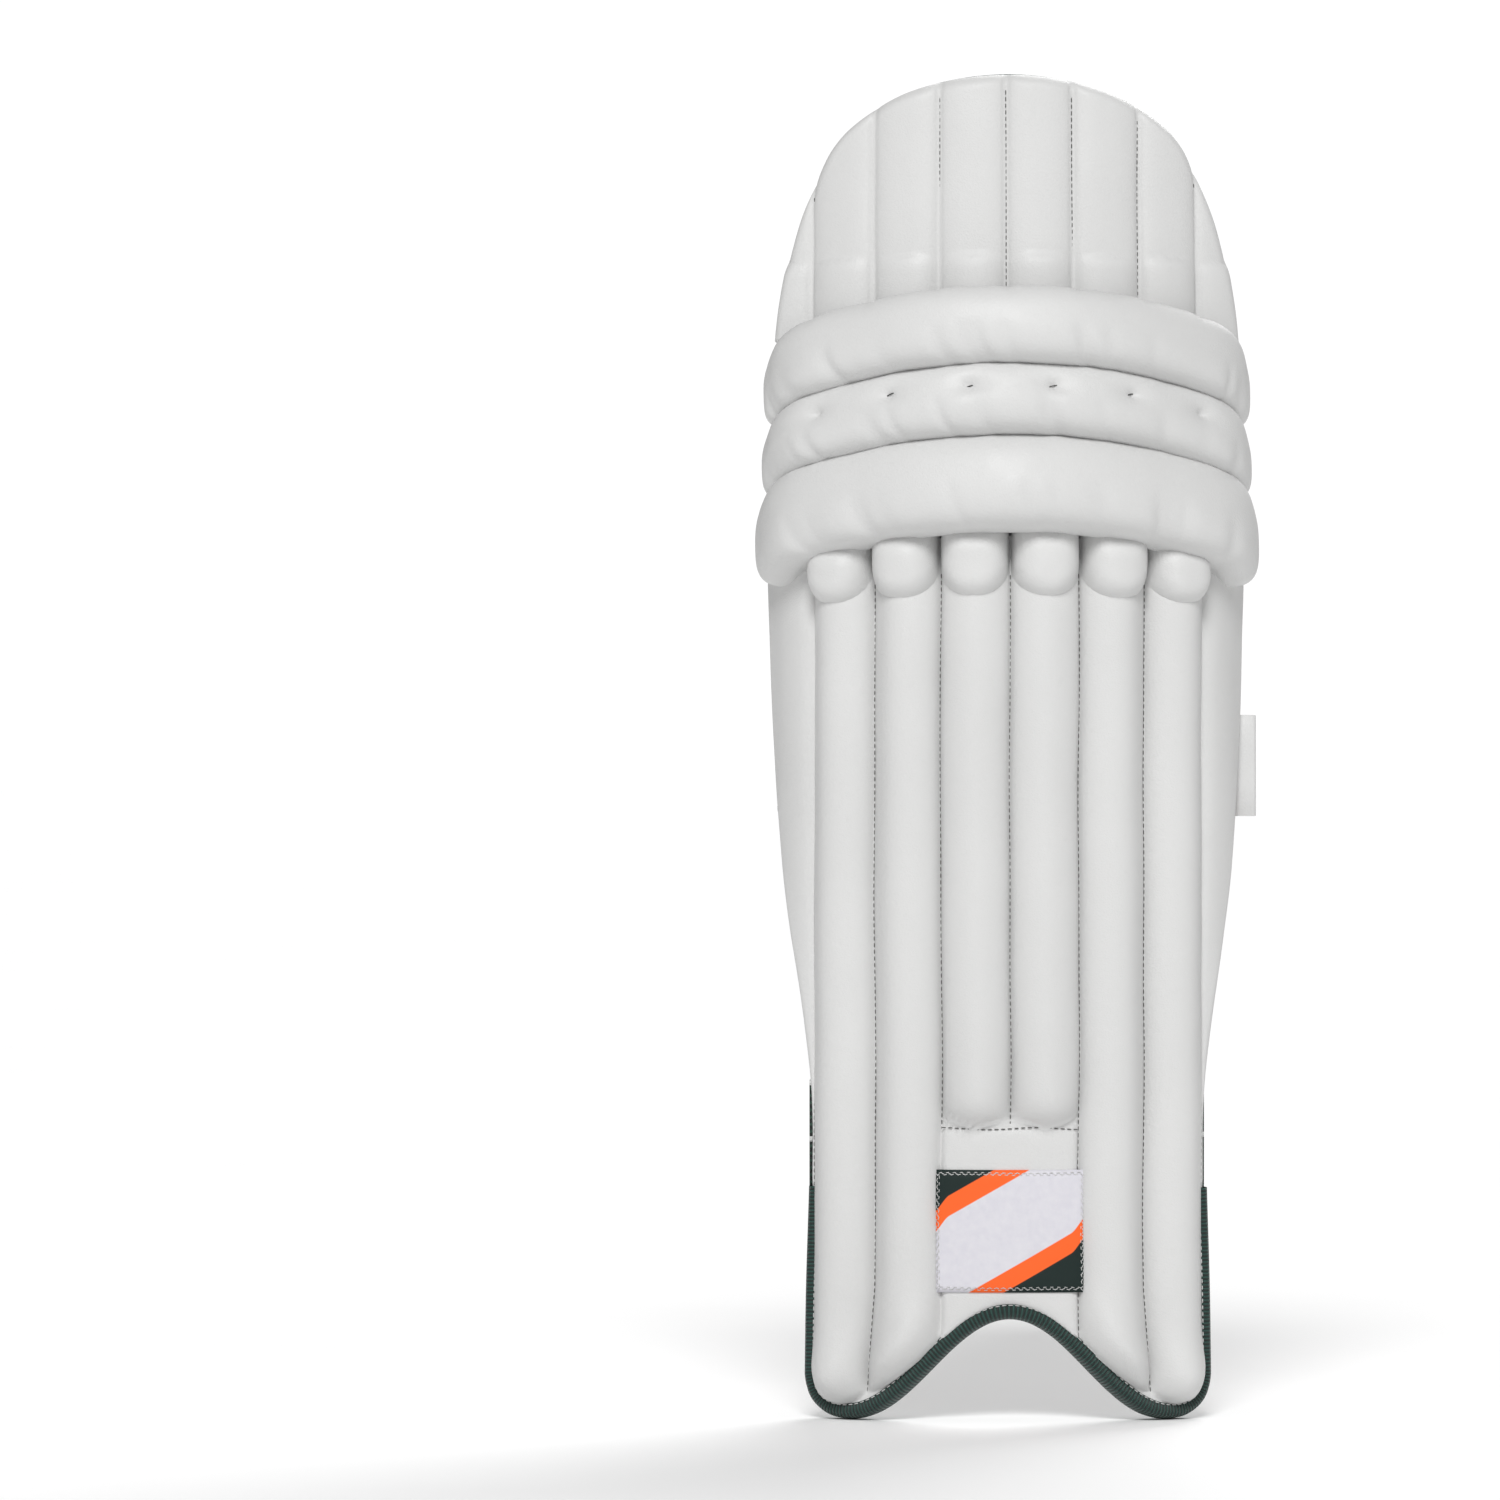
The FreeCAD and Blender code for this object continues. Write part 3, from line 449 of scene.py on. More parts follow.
def make_object(name, points, faces, uvs, look, body):
    """A smooth mesh of points in mm, with a pair of lengths in mm for each."""
    uvs = np.asarray(uvs).reshape(-1, 2)
    mesh = bpy.data.meshes.new(name)
    mesh.from_pydata((np.asarray(points).reshape(-1, 3) * MM).tolist(), [], faces)
    layer = mesh.uv_layers.new(name="UVMap")
    corner = np.empty(len(mesh.loops), dtype=np.int32)
    mesh.loops.foreach_get("vertex_index", corner)
    layer.data.foreach_set("uv", (uvs[corner] * MM).astype(np.float32).ravel())
    mesh.polygons.foreach_set("use_smooth", [True] * len(mesh.polygons))
    box = bmesh.new()
    box.from_mesh(mesh)
    bmesh.ops.recalc_face_normals(box, faces=box.faces)
    box.to_mesh(mesh)
    box.free()
    mesh.materials.append(LOOKS[look])
    made = bpy.data.objects.new(name, mesh)
    bpy.context.scene.collection.objects.link(made)
    if body:
        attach(made, body)
    return made


def grid_faces(rows, cols, first=0, close=False):
    """Quads of a grid whose points are numbered row by row from first."""
    faces = []
    for r in range(rows - 1):
        here, above = first + r * cols, first + (r + 1) * cols
        for c in range(cols if close else cols - 1):
            d = (c + 1) % cols
            faces.append((here + c, here + d, above + d, above + c))
    return faces


def end_caps(rows, cols):
    """The first and last ring of a closed grid, as faces."""
    return [tuple(first + c for c in range(cols)) for first in (0, (rows - 1) * cols)]


def two_sided(front, back, rims, close=False):
    """Points and faces of two grids that are joined along each closed line of numbers in rims."""
    rows, cols = front.shape[:2]
    count = rows * cols
    points = np.concatenate([front.reshape(-1, 3), back.reshape(-1, 3)])
    faces = grid_faces(rows, cols, 0, close) + grid_faces(rows, cols, count, close)
    for edge in rims:
        faces += [(a, b, b + count, a + count) for a, b in zip(edge, edge[1:] + edge[:1])]
    return points, faces


def rim(rows, cols):
    """The numbers of a grid's outer points, in order."""
    return (
        list(range(cols))
        + [r * cols + cols - 1 for r in range(1, rows)]
        + [(rows - 1) * cols + c for c in range(cols - 2, -1, -1)]
        + [r * cols for r in range(rows - 2, 0, -1)]
    )


def pillow(name, front, back, uv, look, body, replaces=()):
    """A closed piece between two grids of points, front and back, that meet along their rims."""
    points, faces = two_sided(front, back, [rim(*front.shape[:2])])
    made = make_object(name, points, faces, [uv, uv], look, body)
    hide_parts(*replaces)


def crowded(count):
    """Numbers from -1 to 1 that lie closer together near both ends."""
    return np.sin(np.linspace(-math.pi / 2, math.pi / 2, count))


def close_up(count, ends=0.12, share=0.3):
    """Numbers from 0 to 1 that lie closer together near both ends."""
    side = max(3, int(count * share))
    near = ends * (1.0 - np.cos(np.linspace(0, math.pi / 2, side)))
    middle = np.linspace(ends, 1.0 - ends, count - 2 * side + 2)[1:-1]
    return np.concatenate([near, middle, 1.0 - near[::-1]])


# ---------------------------------------------------------------- the pad's surfaces
def face_frame(a):
    """Plan point and outward normal of the face and wings, at arc length a from the centre plane."""
    side, b = np.where(a < 0, -1.0, 1.0), np.abs(a)
    first = np.minimum(b, A_FACE) / FACE_R
    x = FACE_R * np.sin(first)
    y = FACE_Y + FACE_R * (1.0 - np.cos(first))
    turn = first + np.clip(b - A_FACE, 0, A_WING - A_FACE) / WING_R
    x = x + WING_R * (np.sin(turn) - np.sin(first))
    y = y - WING_R * (np.cos(turn) - np.cos(first))
    rest = np.maximum(b - A_WING, 0)
    x, y = x + rest * np.cos(turn), y + rest * np.sin(turn)
    return side * x, y, side * np.sin(turn), -np.cos(turn)


def on_face(a, z, off):
    """Points off mm in front of the face at arc length a and height z."""
    x, y, nx, ny = face_frame(a)
    return np.stack([x + nx * off, y + ny * off, np.broadcast_to(z, np.shape(a)) + 0 * off], axis=-1)


WIDE = np.linspace(A_FACE, A_WING + 60.0, 200)
WIDE_Y = face_frame(WIDE)[1]


def wing_reach(z):
    """Arc length of the wings' back edge at the height z."""
    heights, depths = zip(*WING_EDGE)
    y = np.mean([np.interp(z + d, heights, depths) for d in (-14, -7, 0, 7, 14)], axis=0)
    return np.interp(y, WIDE_Y, WIDE)


def lower_edge(x):
    """Height of the pad's lower edge at x: instep arch, toe lobes and their rounded corners."""
    x = np.abs(x)
    arch = ARCH_HEIGHT * (1.0 + np.cos(math.pi * unit(x / ARCH_HALF))) / 2
    over = np.clip(x - (TOE_HALF - TOE_CORNER), 0, TOE_CORNER)
    return np.maximum(arch, TOE_CORNER - np.sqrt(TOE_CORNER**2 - over**2)) + 1.5


def shin_top(y):
    """Height of the shin panel's upper edge at the depth y."""
    return SHIN_TOP - math.tan(TILT) * (y - FACE_Y)


def shin_grid():
    """Arc length and height of the shin shell's grid of points, and how far each is from its edges."""
    across = crowded(15) / 2 + 0.5
    face = [-A_FACE + (k + across[:-1]) * CHANNEL for k in range(CHANNELS)] + [[A_FACE]]
    face = np.concatenate(face)
    near_edge = 1.0 - 0.3 * (1 - np.sin(np.linspace(0.15, math.pi / 2, 9)))
    w = np.concatenate([np.linspace(0.1, 0.7, 8), near_edge])
    share = np.concatenate([-w[::-1], 0 * face, w])
    base = np.concatenate([np.full(len(w), -A_FACE), face, np.full(len(w), A_FACE)])
    v = close_up(170, 0.1, 0.22)[:, None]
    low_a = base + share * (wing_reach(np.full_like(base, 20.0)) - A_FACE)
    low = lower_edge(face_frame(low_a)[0])[None, :]
    z = low + v * (400.0 - low)
    a = base[None, :] + share[None, :] * (wing_reach(z) - A_FACE)
    top = shin_top(face_frame(a)[1])
    z = low + v * (top - low)
    reach = wing_reach(z)
    a = base[None, :] + share[None, :] * (reach - A_FACE)
    return a, z, z - low, reach - np.abs(a)


def channel_share(a):
    """Channel number, and place across it from -1 to 1."""
    place = (np.clip(a, -A_FACE, A_FACE - 1e-6) + A_FACE) / CHANNEL
    k = np.floor(place).astype(int)
    return k, 2 * (place - k) - 1


def seam_drift(a, z):
    """Sewn seams wander a little, and the outer ones lean outwards at the toes."""
    wander = 0.9 * ripple(a, z, 70.0, 3.1)
    lean = 4.4 * np.sign(a) * unit((62.0 - z) / 62.0) * unit(1.0 - np.abs(np.abs(a) - 64.5) / 32.0)
    return (wander + lean) * unit((A_FACE + 12.0 - np.abs(a)) / 12.0)


def shin_relief(a, z, low):
    """How far the cover stands in front of the seam line."""
    k, t = channel_share(a)
    on_channel = np.abs(a) < A_FACE
    short = on_channel & ((k == 2) | (k == 3))
    bow = 1.0 - np.sqrt(1.0 - (0.985 * t) ** 2)
    above = np.where(short, z - SHORT_CHANNEL_Z - 9.0 * bow, low - BINDING_LIP - 4.0 * bow)
    outward = t * np.sign(a)
    flank = 1.0 - 0.96 * unit((outward - 0.36) / 0.64) ** 1.15
    flank = np.where(outward < 0, unit(1.0 - np.abs(outward) ** 3.4) ** 0.75, flank)
    round_top = unit(1.0 - np.abs(t) ** 3.2) ** 0.7
    at_ball = np.exp(-((np.clip(above - 10.0, 0, 99) / 13.0) ** 2))
    across = np.where(short, round_top, flank + (round_top - flank) * at_ball)
    ridge = 3.8 * (1.0 - np.sqrt(t * t + 0.006))
    ball = np.where(short, 1.8, 3.6) * np.exp(-(((above - 15.0) / 13.0) ** 2)) * unit(1 - t * t) ** 0.7
    puff = (7.8 + ridge + ball) * across * dome(above, 14.0)
    puff = puff * (1.0 + 0.05 * ripple(a, z, 55.0, 9.0))
    flat = z - SHORT_CHANNEL_Z
    panel = np.where(short & (flat < 2.0), 2.4 * dome(2.0 - flat, 8.0) * dome(33.0 - np.abs(a), 6.0), 0.0)
    panel = panel * dome(low - BINDING_LIP, 8.0)
    unsewn = short & (np.abs(a) < CHANNEL / 2) & (flat < 0)
    sewn = np.where(unsewn, 0.0, 1.0) * unit((low - BINDING_LIP) / 6.0)
    groove = -1.3 * np.exp(-(((1 - np.abs(t)) * CHANNEL / 2 / 1.1) ** 2)) * sewn
    wing_place = unit((np.abs(a) - A_FACE) / 26.0)
    wing = 2.0 * dome(wing_place, 0.35) * dome(z - BINDING_TOP, 30.0)
    return np.where(on_channel, 1.0 + puff + panel + groove, 1.0 + wing)


def shell_back(a):
    """Thickness of the foam behind the seam line: the wings thin out towards their edges."""
    share = unit((np.abs(a) - A_FACE) / 45.0)
    return SHELL - 4.8 * ease(share)


def make_shin():
    """The shin panel's cover in six channels with its wings, down to the foam behind it."""
    a, z, low, side = shin_grid()
    relief = shin_relief(a, z, low)
    edge = dome(low, 5.0) * dome(side, 5.0)
    drift = a + seam_drift(a, z)
    lumps = 0.35 * ripple(a, z, 28.0, 1.7)
    front = on_face(drift, z, SHELL_MIDDLE + (relief + lumps - SHELL_MIDDLE) * edge)
    back = on_face(drift, z, SHELL_MIDDLE + (-shell_back(a) - SHELL_MIDDLE) * edge)
    nodes = [f"channel_foam_{k}" for k in range(1, CHANNELS + 1)]
    nodes += ["shin_cover", "shin_canes", "shin_backing_foam", "wing_left", "wing_right"]
    pillow("shin_shell", front, back, np.stack([a, z], -1), "cover", "shin_guard", nodes)


def make_heads():
    """Six domed ends of the knee bolsters, over the tops of the channels."""
    t = crowded(27)[None, :]
    near_foot = 0.5 * (1 - np.cos(np.linspace(0, math.pi / 2, 22)))
    v = np.concatenate([near_foot, np.linspace(0.53, 1.0, 10)])[:, None]
    bow = HEAD_BOW * (1 - np.sqrt(unit(1 - (0.995 * t) ** 2)))
    swell = unit(1.0 - np.abs(t) ** 2.6) ** 0.55
    for k in range(CHANNELS):
        centre = -A_FACE + (k + 0.5) * CHANNEL
        a = centre + t * (CHANNEL / 2 - 0.5) + 0 * v
        set_back = face_frame(np.array(centre))[1] - FACE_Y
        low = HEAD_FOOT - 0.16 * set_back
        bottom, top = low + bow, HEAD_TOP - 0.40 * set_back + 0 * t
        z = bottom + v * (top - bottom)
        rise = dome(z - bottom, 12.0)
        pinch = 1.0 - 0.30 * unit((z - top + 12.0) / 12.0) ** 2
        off = 0.6 + (HEAD_SWELL * swell * rise * pinch) * (1 + 0.04 * ripple(a, z, 12.0, k * 3.3))
        front = on_face(a, z, off)
        back = on_face(a, z, 0.2)
        nodes = ["bolster_heads"] if k == 0 else []
        uv = np.stack([a, z], -1)
        pillow(f"bolster_head_{k + 1}", front, back, uv, "cover", "shin_guard", nodes)


def back_panel(name, a0, a1, z0, z1, thick, look, round_side, round_end, nodes, lumps=0.5):
    """A padded panel sewn on the inside of the shell, between two arc lengths and two heights."""
    u, v = close_up(46, 0.2, 0.3)[None, :], close_up(110, 0.08, 0.2)[:, None]
    a, z = a0 + u * (a1 - a0) + 0 * v, z0 + v * (z1 - z0) + 0 * u
    side = np.minimum(a - a0, a1 - a)
    end = np.minimum(z - z0, z1 - z)
    rise = dome(side, round_side) * dome(end, round_end)
    wave = lumps * ripple(a, z, 24.0, a0)
    back = on_face(a, z, -SHELL - 0.4 - (thick - 0.4) * rise - wave * rise)
    front = on_face(a, z, -SHELL)
    step = np.linalg.norm(np.diff(back, axis=1), axis=2)
    across = np.concatenate([np.zeros((len(z), 1)), np.cumsum(step, axis=1)], axis=1)
    pillow(name, front, back, np.stack([across, z], -1), look, "shin_guard", nodes)


def make_wing_lining(side, word):
    """The bright lining inside a wing, with a rolled edge."""
    foot, top, inner = WING_LINING
    z = foot + np.linspace(0, 1, 90)[:, None] * (top - foot)
    u = close_up(22, 0.2, 0.3)[None, :]
    reach = wing_reach(z) - 1.8
    a = side * (inner + u * np.maximum(reach - inner, 1.0))
    z = z + 0 * u
    rise = dome(np.minimum(np.abs(a) - inner, reach - np.abs(a)), 4.0)
    puff = 0.8 + 1.6 * rise + 0.5 * ripple(a, z, 17.0, side) * rise
    under = -shell_back(a) * dome(reach + 1.8 - np.abs(a), 4.0) - 0.2
    back, front = on_face(a, z, under - puff), on_face(a, z, under)
    uv = np.stack([a, z], -1)
    pillow(f"wing_lining_{word}_skin", front, back, uv, "nylon", "shin_guard",
           [f"wing_lining_{word}"])


def make_instep_lining():
    """The white padded lining of the instep, sewn in five channels."""
    a = np.linspace(-INSTEP_HALF, INSTEP_HALF, 141)[None, :]
    v = close_up(60, 0.12, 0.25)[:, None]
    low = lower_edge(face_frame(a)[0]) + 8.5
    z = low + v * (INSTEP_TOP - low)
    a = a + 0 * v
    relief = np.full_like(a, 1.0)
    for s in INSTEP_SEAMS:
        relief -= 0.42 * np.exp(-(((a - s) / 7.0) ** 2)) + 0.48 * np.exp(-(((a - s) / 1.6) ** 2))
    rise = dome(z - low, 6.0) * dome(INSTEP_HALF - np.abs(a), 6.0) * dome(INSTEP_TOP + 0.5 - z, 8.0)
    off = 0.6 + 6.8 * rise * relief + 0.4 * ripple(a, z, 22.0, 5.0) * rise
    back, front = on_face(a, z, -SHELL - off), on_face(a, z, -SHELL - 0.2)
    pillow("instep_padding", front, back, np.stack([a, z], -1), "cover", "shin_guard",
           ["instep_lining"])


def toe_outline():
    """Arc lengths and heights along the pad's lower edge, from one side's binding top to the other's."""
    half = float(face_frame(wing_reach(np.array(TOE_CORNER)))[0])
    x = half * crowded(361)
    low = lower_edge(x)
    wide_x = face_frame(WIDE)[0]
    face_a = FACE_R * np.arcsin(unit(np.abs(x) / FACE_R))
    on_wing = np.abs(x) >= face_frame(np.array(A_FACE))[0]
    a = np.sign(x) * np.where(on_wing, np.interp(np.abs(x), wide_x, WIDE), face_a)
    up = np.linspace(BINDING_TOP, low[0] + 1.0, 50)
    side_a = wing_reach(up)
    a = np.concatenate([-side_a, a[1:-1], side_a[::-1]])
    z = np.concatenate([up, low[1:-1], up[::-1]])
    return smooth_line(a, z, 0.7, 11)


def smooth_line(u, v, step, width):
    """A line of points at equal steps, with its corners worn round by a moving average."""
    along = lengths(np.stack([u, v], -1))
    marks = np.arange(0.0, along[-1], step)
    kernel = np.ones(width) / width
    lines = []
    for values in (u, v):
        even = np.interp(marks, along, values)
        ends = 2 * even[0] - even[width // 2:0:-1], 2 * even[-1] - even[-2:-width // 2 - 1:-1]
        lines.append(np.convolve(np.concatenate([ends[0], even, ends[1]]), kernel, mode="valid"))
    return lines


def inward(a, z):
    """Unit direction in arc length and height that points into the pad from its lower edge."""
    da, dz = np.gradient(a), np.gradient(z)
    length = np.hypot(da, dz)
    kernel = np.ones(9) / 9
    na, nz = -dz / length, da / length
    pad = [np.convolve(np.pad(n, 4, mode="edge"), kernel, mode="valid") for n in (na, nz)]
    size = np.hypot(*pad)
    return pad[0] / size, pad[1] / size


def make_binding():
    """Ribbed tape folded round the lower edge: a narrow lip in front and a wide one behind."""
    a, z = toe_outline()
    na, nz = inward(a, z)
    loop = [fold[:2] for fold in BINDING_FOLD] + [fold[2:] for fold in reversed(BINDING_FOLD)]
    ring = [on_face(a + na * inset, z + nz * inset, off) for inset, off in loop]
    points = np.stack(ring, axis=1)
    along, across = lengths(np.stack([a, z], -1)), lengths(loop)
    uv = np.stack(np.broadcast_arrays(along[:, None], across[None, :]), -1)
    faces = grid_faces(len(a), len(loop), close=True)
    made = make_object("ribbed_binding_tape", points, faces, uv, "binding", "shin_guard")
    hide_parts("binding_edge", "binding_lip")


# ---------------------------------------------------------------- knee rolls
def roll_frame(s):
    """Plan point and outward normal of a roll's middle line, s mm along it from the centre plane."""
    side, b = np.where(s < 0, -1.0, 1.0), np.abs(s)
    first = np.minimum(b / ROLL_R, ROLL_TURN)
    second = np.clip((b - ROLL_R * ROLL_TURN) / ROLL_SIDE_R, 0, ROLL_SIDE_TURN - ROLL_TURN)
    turn = first + second
    x = ROLL_R * np.sin(first) + ROLL_SIDE_R * (np.sin(turn) - np.sin(first))
    y = -ROLL_OUT + ROLL_R * (1 - np.cos(first)) - ROLL_SIDE_R * (np.cos(turn) - np.cos(first))
    rest = np.maximum(b - ROLL_R * ROLL_TURN - ROLL_SIDE_R * (ROLL_SIDE_TURN - ROLL_TURN), 0)
    x, y = x + rest * np.cos(turn), y + rest * np.sin(turn)
    return side * x, y, side * np.sin(turn), -np.cos(turn)


ROLL_HALF = ROLL_R * ROLL_TURN + ROLL_SIDE_R * (ROLL_SIDE_TURN - ROLL_TURN) + ROLL_END


def on_roll(s, out, up, z):
    """Points out mm in front of a roll's middle line and up mm above its plane."""
    x, y, nx, ny = roll_frame(s)
    x, y = x + nx * out, y + ny * out
    cos, sin = math.cos(TILT), math.sin(TILT)
    return np.stack([x, FACE_Y + y * cos + up * sin, z - y * sin + up * cos], -1)


def folds(s, seed, count, width, reach):
    """Short random folds along a roll, as heights from 0 to 1."""
    pick = random.Random(seed)
    total = np.zeros_like(s)
    for _ in range(count):
        place, size = pick.uniform(-reach, reach), pick.uniform(0.35, 1.0)
        total += size * np.exp(-(((s - place) / pick.uniform(0.6 * width, 1.4 * width)) ** 2))
    return np.clip(total, 0, 1.3)


def tufted(s, out, up, cos):
    """The middle roll's surface with a pit round each thread tie."""
    for place in TUFTS:
        far = ((s - place) / 8.0) ** 2 + ((up - 3.2) / 5.0) ** 2
        near = ((s - place) / 2.2) ** 2 + ((up - 3.2) / 1.7) ** 2
        out = out - np.where(cos > 0, 2.6 * np.exp(-far) + 2.2 * np.exp(-near), 0)
    return out


def make_roll(name, seed):
    """A stuffed roll: flattened where it is sewn down, creased along its lower seam, rounded at its ends."""
    z, depth, height, flare, drop = ROLLS[name]
    cap = 15.0
    round_end = cap * (1 - np.cos(np.linspace(0, math.pi / 2, 12)))
    straight = np.linspace(-ROLL_HALF + cap, ROLL_HALF - cap, 230)[1:-1]
    s_line = np.concatenate([-ROLL_HALF - 1.0 + round_end, straight, ROLL_HALF + 1.0 - round_end[::-1]])
    s, phi = np.meshgrid(s_line, np.linspace(0, 2 * math.pi, 73)[:-1], indexing="ij")
    cos, sin = np.cos(phi), np.sin(phi)
    to_end = ROLL_HALF + 1.4 - np.abs(s)
    taper, shoulder = dome(to_end, cap), dome(to_end, 24.0)
    square = 2.6 + 1.3 * unit((np.abs(s) - 70.0) / 40.0)
    size = (np.abs(cos) ** square + np.abs(sin) ** square) ** (-1 / square)
    lower, upper = unit(-sin), unit(sin)
    crease = folds(s + 9.0 * cos, seed, 17, 4.2, 120.0) * lower**1.5 * unit(1.25 - lower) * 16.0
    tight = folds(s - 3.0 * cos, seed + 5, 26, 4.0, 150.0) * upper**3 * 0.9
    radius = 1.0 + 0.035 * smooth_noise(s, 12 * cos, 12 * sin, 34.0, seed)
    out = depth * cos * size * radius * taper - np.where(cos > -0.2, crease * 0.32 + tight * 0.5, 0)
    out += flare * ease(unit((np.abs(s) - 62.0) / 46.0)) * taper * unit(cos) ** 0.5
    up = height * sin * size * radius * shoulder + np.where(cos > -0.2, crease * 0.10, 0)
    up *= 1.0 - 0.42 * unit((np.abs(s) - 92.0) / 26.0) * unit(-1.6 * cos + 0.35)
    if name == "upper":
        for seam in FLAP_SEAMS:
            up -= 1.3 * np.exp(-(((s - 1.03 * seam) / 3.4) ** 2)) * upper**2
    if name == "middle":
        out = tufted(s, out, up, cos)
    sag = -drop * unit(np.abs(s) / ROLL_HALF) ** 3
    points = on_roll(s, np.maximum(out, -depth), up + sag, z)
    faces = grid_faces(*s.shape, close=True) + end_caps(*s.shape)
    uv = np.stack([s, phi * (depth + height) / 2], -1)
    made = make_object(f"{name}_knee_roll", points, faces, uv, "cover", "knee_guard")
    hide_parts(f"{name}_roll_cover", f"{name}_roll_foam")


def make_knee_back():
    """The covered foam that the rolls are sewn to, closing the gaps between them."""
    s = np.linspace(-116.0, 116.0, 90)[None, :]
    v = np.linspace(0, 1, 40)[:, None]
    up = 0 * s + v * 71.0
    s = s + 0 * v
    front, back = (on_roll(s, off, up, 414.5) for off in (-13.5, -24.0))
    pillow("knee_backing", front, back, np.stack([s, up], -1), "cover", "knee_guard",
           ["knee_backing_foam"])


# ---------------------------------------------------------------- knee cradle
def cradle_line(x):
    """Depth of the sling across the back at x."""
    x = np.abs(x)
    curve = CRADLE_Y - 40.0 * (1 - unit(x / CRADLE_FLAT_X) ** 2.2)
    return np.where(x < CRADLE_FLAT_X, curve, CRADLE_Y)


def cradle_edges(x):
    """Lowest and highest point of the sling at x."""
    x = np.abs(x)
    return 387.0 + 6.5 * unit((x - 20.0) / 90.0), 485.0 + 14.0 * unit(x / CRADLE_HALF) ** 1.3


def make_cradle_side(side, word):
    """One mesh side of the sling, gathered into the hexagon's slanted edges, with its hems and piping."""
    v = close_up(60, 0.1, 0.2)[:, None]
    u = close_up(70, 0.1, 0.2)[None, :]
    hexagon_x = np.interp(v, [0.0, 0.5, 1.0], [20.0, 45.0, 21.0])
    x = hexagon_x + u * (CRADLE_HALF - hexagon_x)
    low, top = cradle_edges(x)
    z = low + v * (top - low)
    edge = np.minimum.reduce([z - low, top - z, CRADLE_HALF + 0.5 - x])
    pulled = unit(1 - (x - hexagon_x) / 26.0) ** 1.5
    pleat = 1.3 * np.sin((z - HEX_Z + 0.5) / 4.6 + 0.05 * x) * pulled
    lumps = 1.2 * ripple(x, z, 26.0, 2.0 * side) + pleat
    y = cradle_line(x) + lumps * np.clip(1 - x / 100.0, 0.2, 1)
    skin = 1.7 * dome(edge, 3.0) + 0.25
    back, front = (np.stack([side * x, y + CRADLE_HEM + off, z], -1) for off in (skin, -skin))
    uv = np.stack([side * x, z], -1)
    pillow(f"cradle_side_{word}", front, back, uv, "cradle_mesh", "knee_guard",
           [f"cradle_mesh_{word}"])
    height = np.linspace(*cradle_edges(CRADLE_HALF), 30)
    depth = float(cradle_line(CRADLE_HALF)) + CRADLE_HEM
    hem = np.stack([np.full(30, side * CRADLE_HALF), np.full(30, depth), height], -1)
    tube(f"cradle_hem_{word}", hem, 1.7, "cover", "knee_guard")
    for which, row, look in (("top", -1, "piping"), ("foot", 0, "cover")):
        line = np.stack([side * x[row], cradle_line(x[row]) + CRADLE_HEM, cradle_edges(x[row])[row]], -1)
        tube(f"cradle_{which}_piping_{word}", line, 1.5, look, "knee_guard")


def hexagon(share):
    """Corners of the knee panel's hexagon, moved towards its centre by a share: x and z."""
    s = 1.0 - share
    return np.array([(x * s, HEX_Z + end * HEX_HALF * s) for x, end in HEX_CORNERS])


def walk(corners, steps):
    """Points round a hexagon, steps to a side."""
    t = (np.arange(steps) / steps)[:, None]
    return np.concatenate([a + t * (b - a) for a, b in zip(corners, np.roll(corners, -1, axis=0))])


def hex_grid(outer, inner, rows, steps):
    """Points between two hexagons, ring by ring."""
    p, q = walk(outer, steps), walk(inner, steps)
    return np.array([p + (q - p) * r for r in np.linspace(0, 1, rows)])


def make_knee_cup():
    """The padded white hexagon with its printed ring and centre."""
    grid = hex_grid(hexagon(-0.01), hexagon(0.985), 30, 12)
    x, z = grid[..., 0], grid[..., 1]
    rows, cols = x.shape
    rise = dome(np.linspace(0, 1, rows)[:, None] * 46.0 + 0 * x, 9.0)
    y = cradle_line(x) + 2.0
    back = np.stack([x, y + 0.6 + CUP_BACK * rise + cup_lumps(x, z), z], -1)
    front = np.stack([x, y - 0.4 - 2.6 * rise, z], -1)
    points, faces = two_sided(back, front, [list(range(cols))], close=True)
    last = (rows - 1) * cols
    faces += [tuple(first + c for c in range(cols)) for first in (last, last + rows * cols)]
    made = make_object("knee_cup_pad", points, faces, [grid, grid], "cover", "knee_guard")
    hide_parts("knee_cup")
    ring = print_shape("knee_cup_print_ring", hexagon(0.19), hexagon(0.42), "ring_orange")
    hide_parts("knee_cup_ring")
    print_shape("knee_cup_print_centre", hexagon(0.73), hexagon(0.9995), "hex_green")


def cup_lumps(x, z):
    """Uneven padding of the knee cup, which its prints follow."""
    return 0.5 * ripple(x, z, 30.0, 4.0)


def print_shape(name, outer, inner, look):
    """A thin printed shape that lies on the knee cup."""
    grid = hex_grid(outer, inner, 8, 10)
    x, z = grid[..., 0], grid[..., 1]
    y = cradle_line(x) + 2.0 + 0.6 + CUP_BACK + cup_lumps(x, z)
    rows, cols = x.shape
    thick = np.full_like(y, 0.45)
    thick[0] = thick[-1] = 0.1
    rims = [list(range(first, first + cols)) for first in (0, (rows - 1) * cols)]
    sides = (np.stack([x, y + off, z], -1) for off in (thick, -0.5))
    points, faces = two_sided(*sides, rims, close=True)
    return make_object(name, points, faces, [grid, grid], look, "knee_guard")


# ---------------------------------------------------------------- flap
def on_flap(x, z, off):
    """Points off mm in front of the flap's seam line, at its own x and height."""
    turn = np.arcsin(np.clip(x / FACE_R, -1, 1))
    px = x + off * np.sin(turn)
    py = FACE_Y + FLAP_SET_BACK + FACE_R - (FACE_R + off) * np.cos(turn)
    y, h = py - FACE_Y, z - FLAP_PIVOT_Z
    cos, sin = math.cos(FLAP_LEAN), math.sin(FLAP_LEAN)
    return np.stack([px, FACE_Y + y * cos - h * sin, FLAP_PIVOT_Z + y * sin + h * cos], -1)


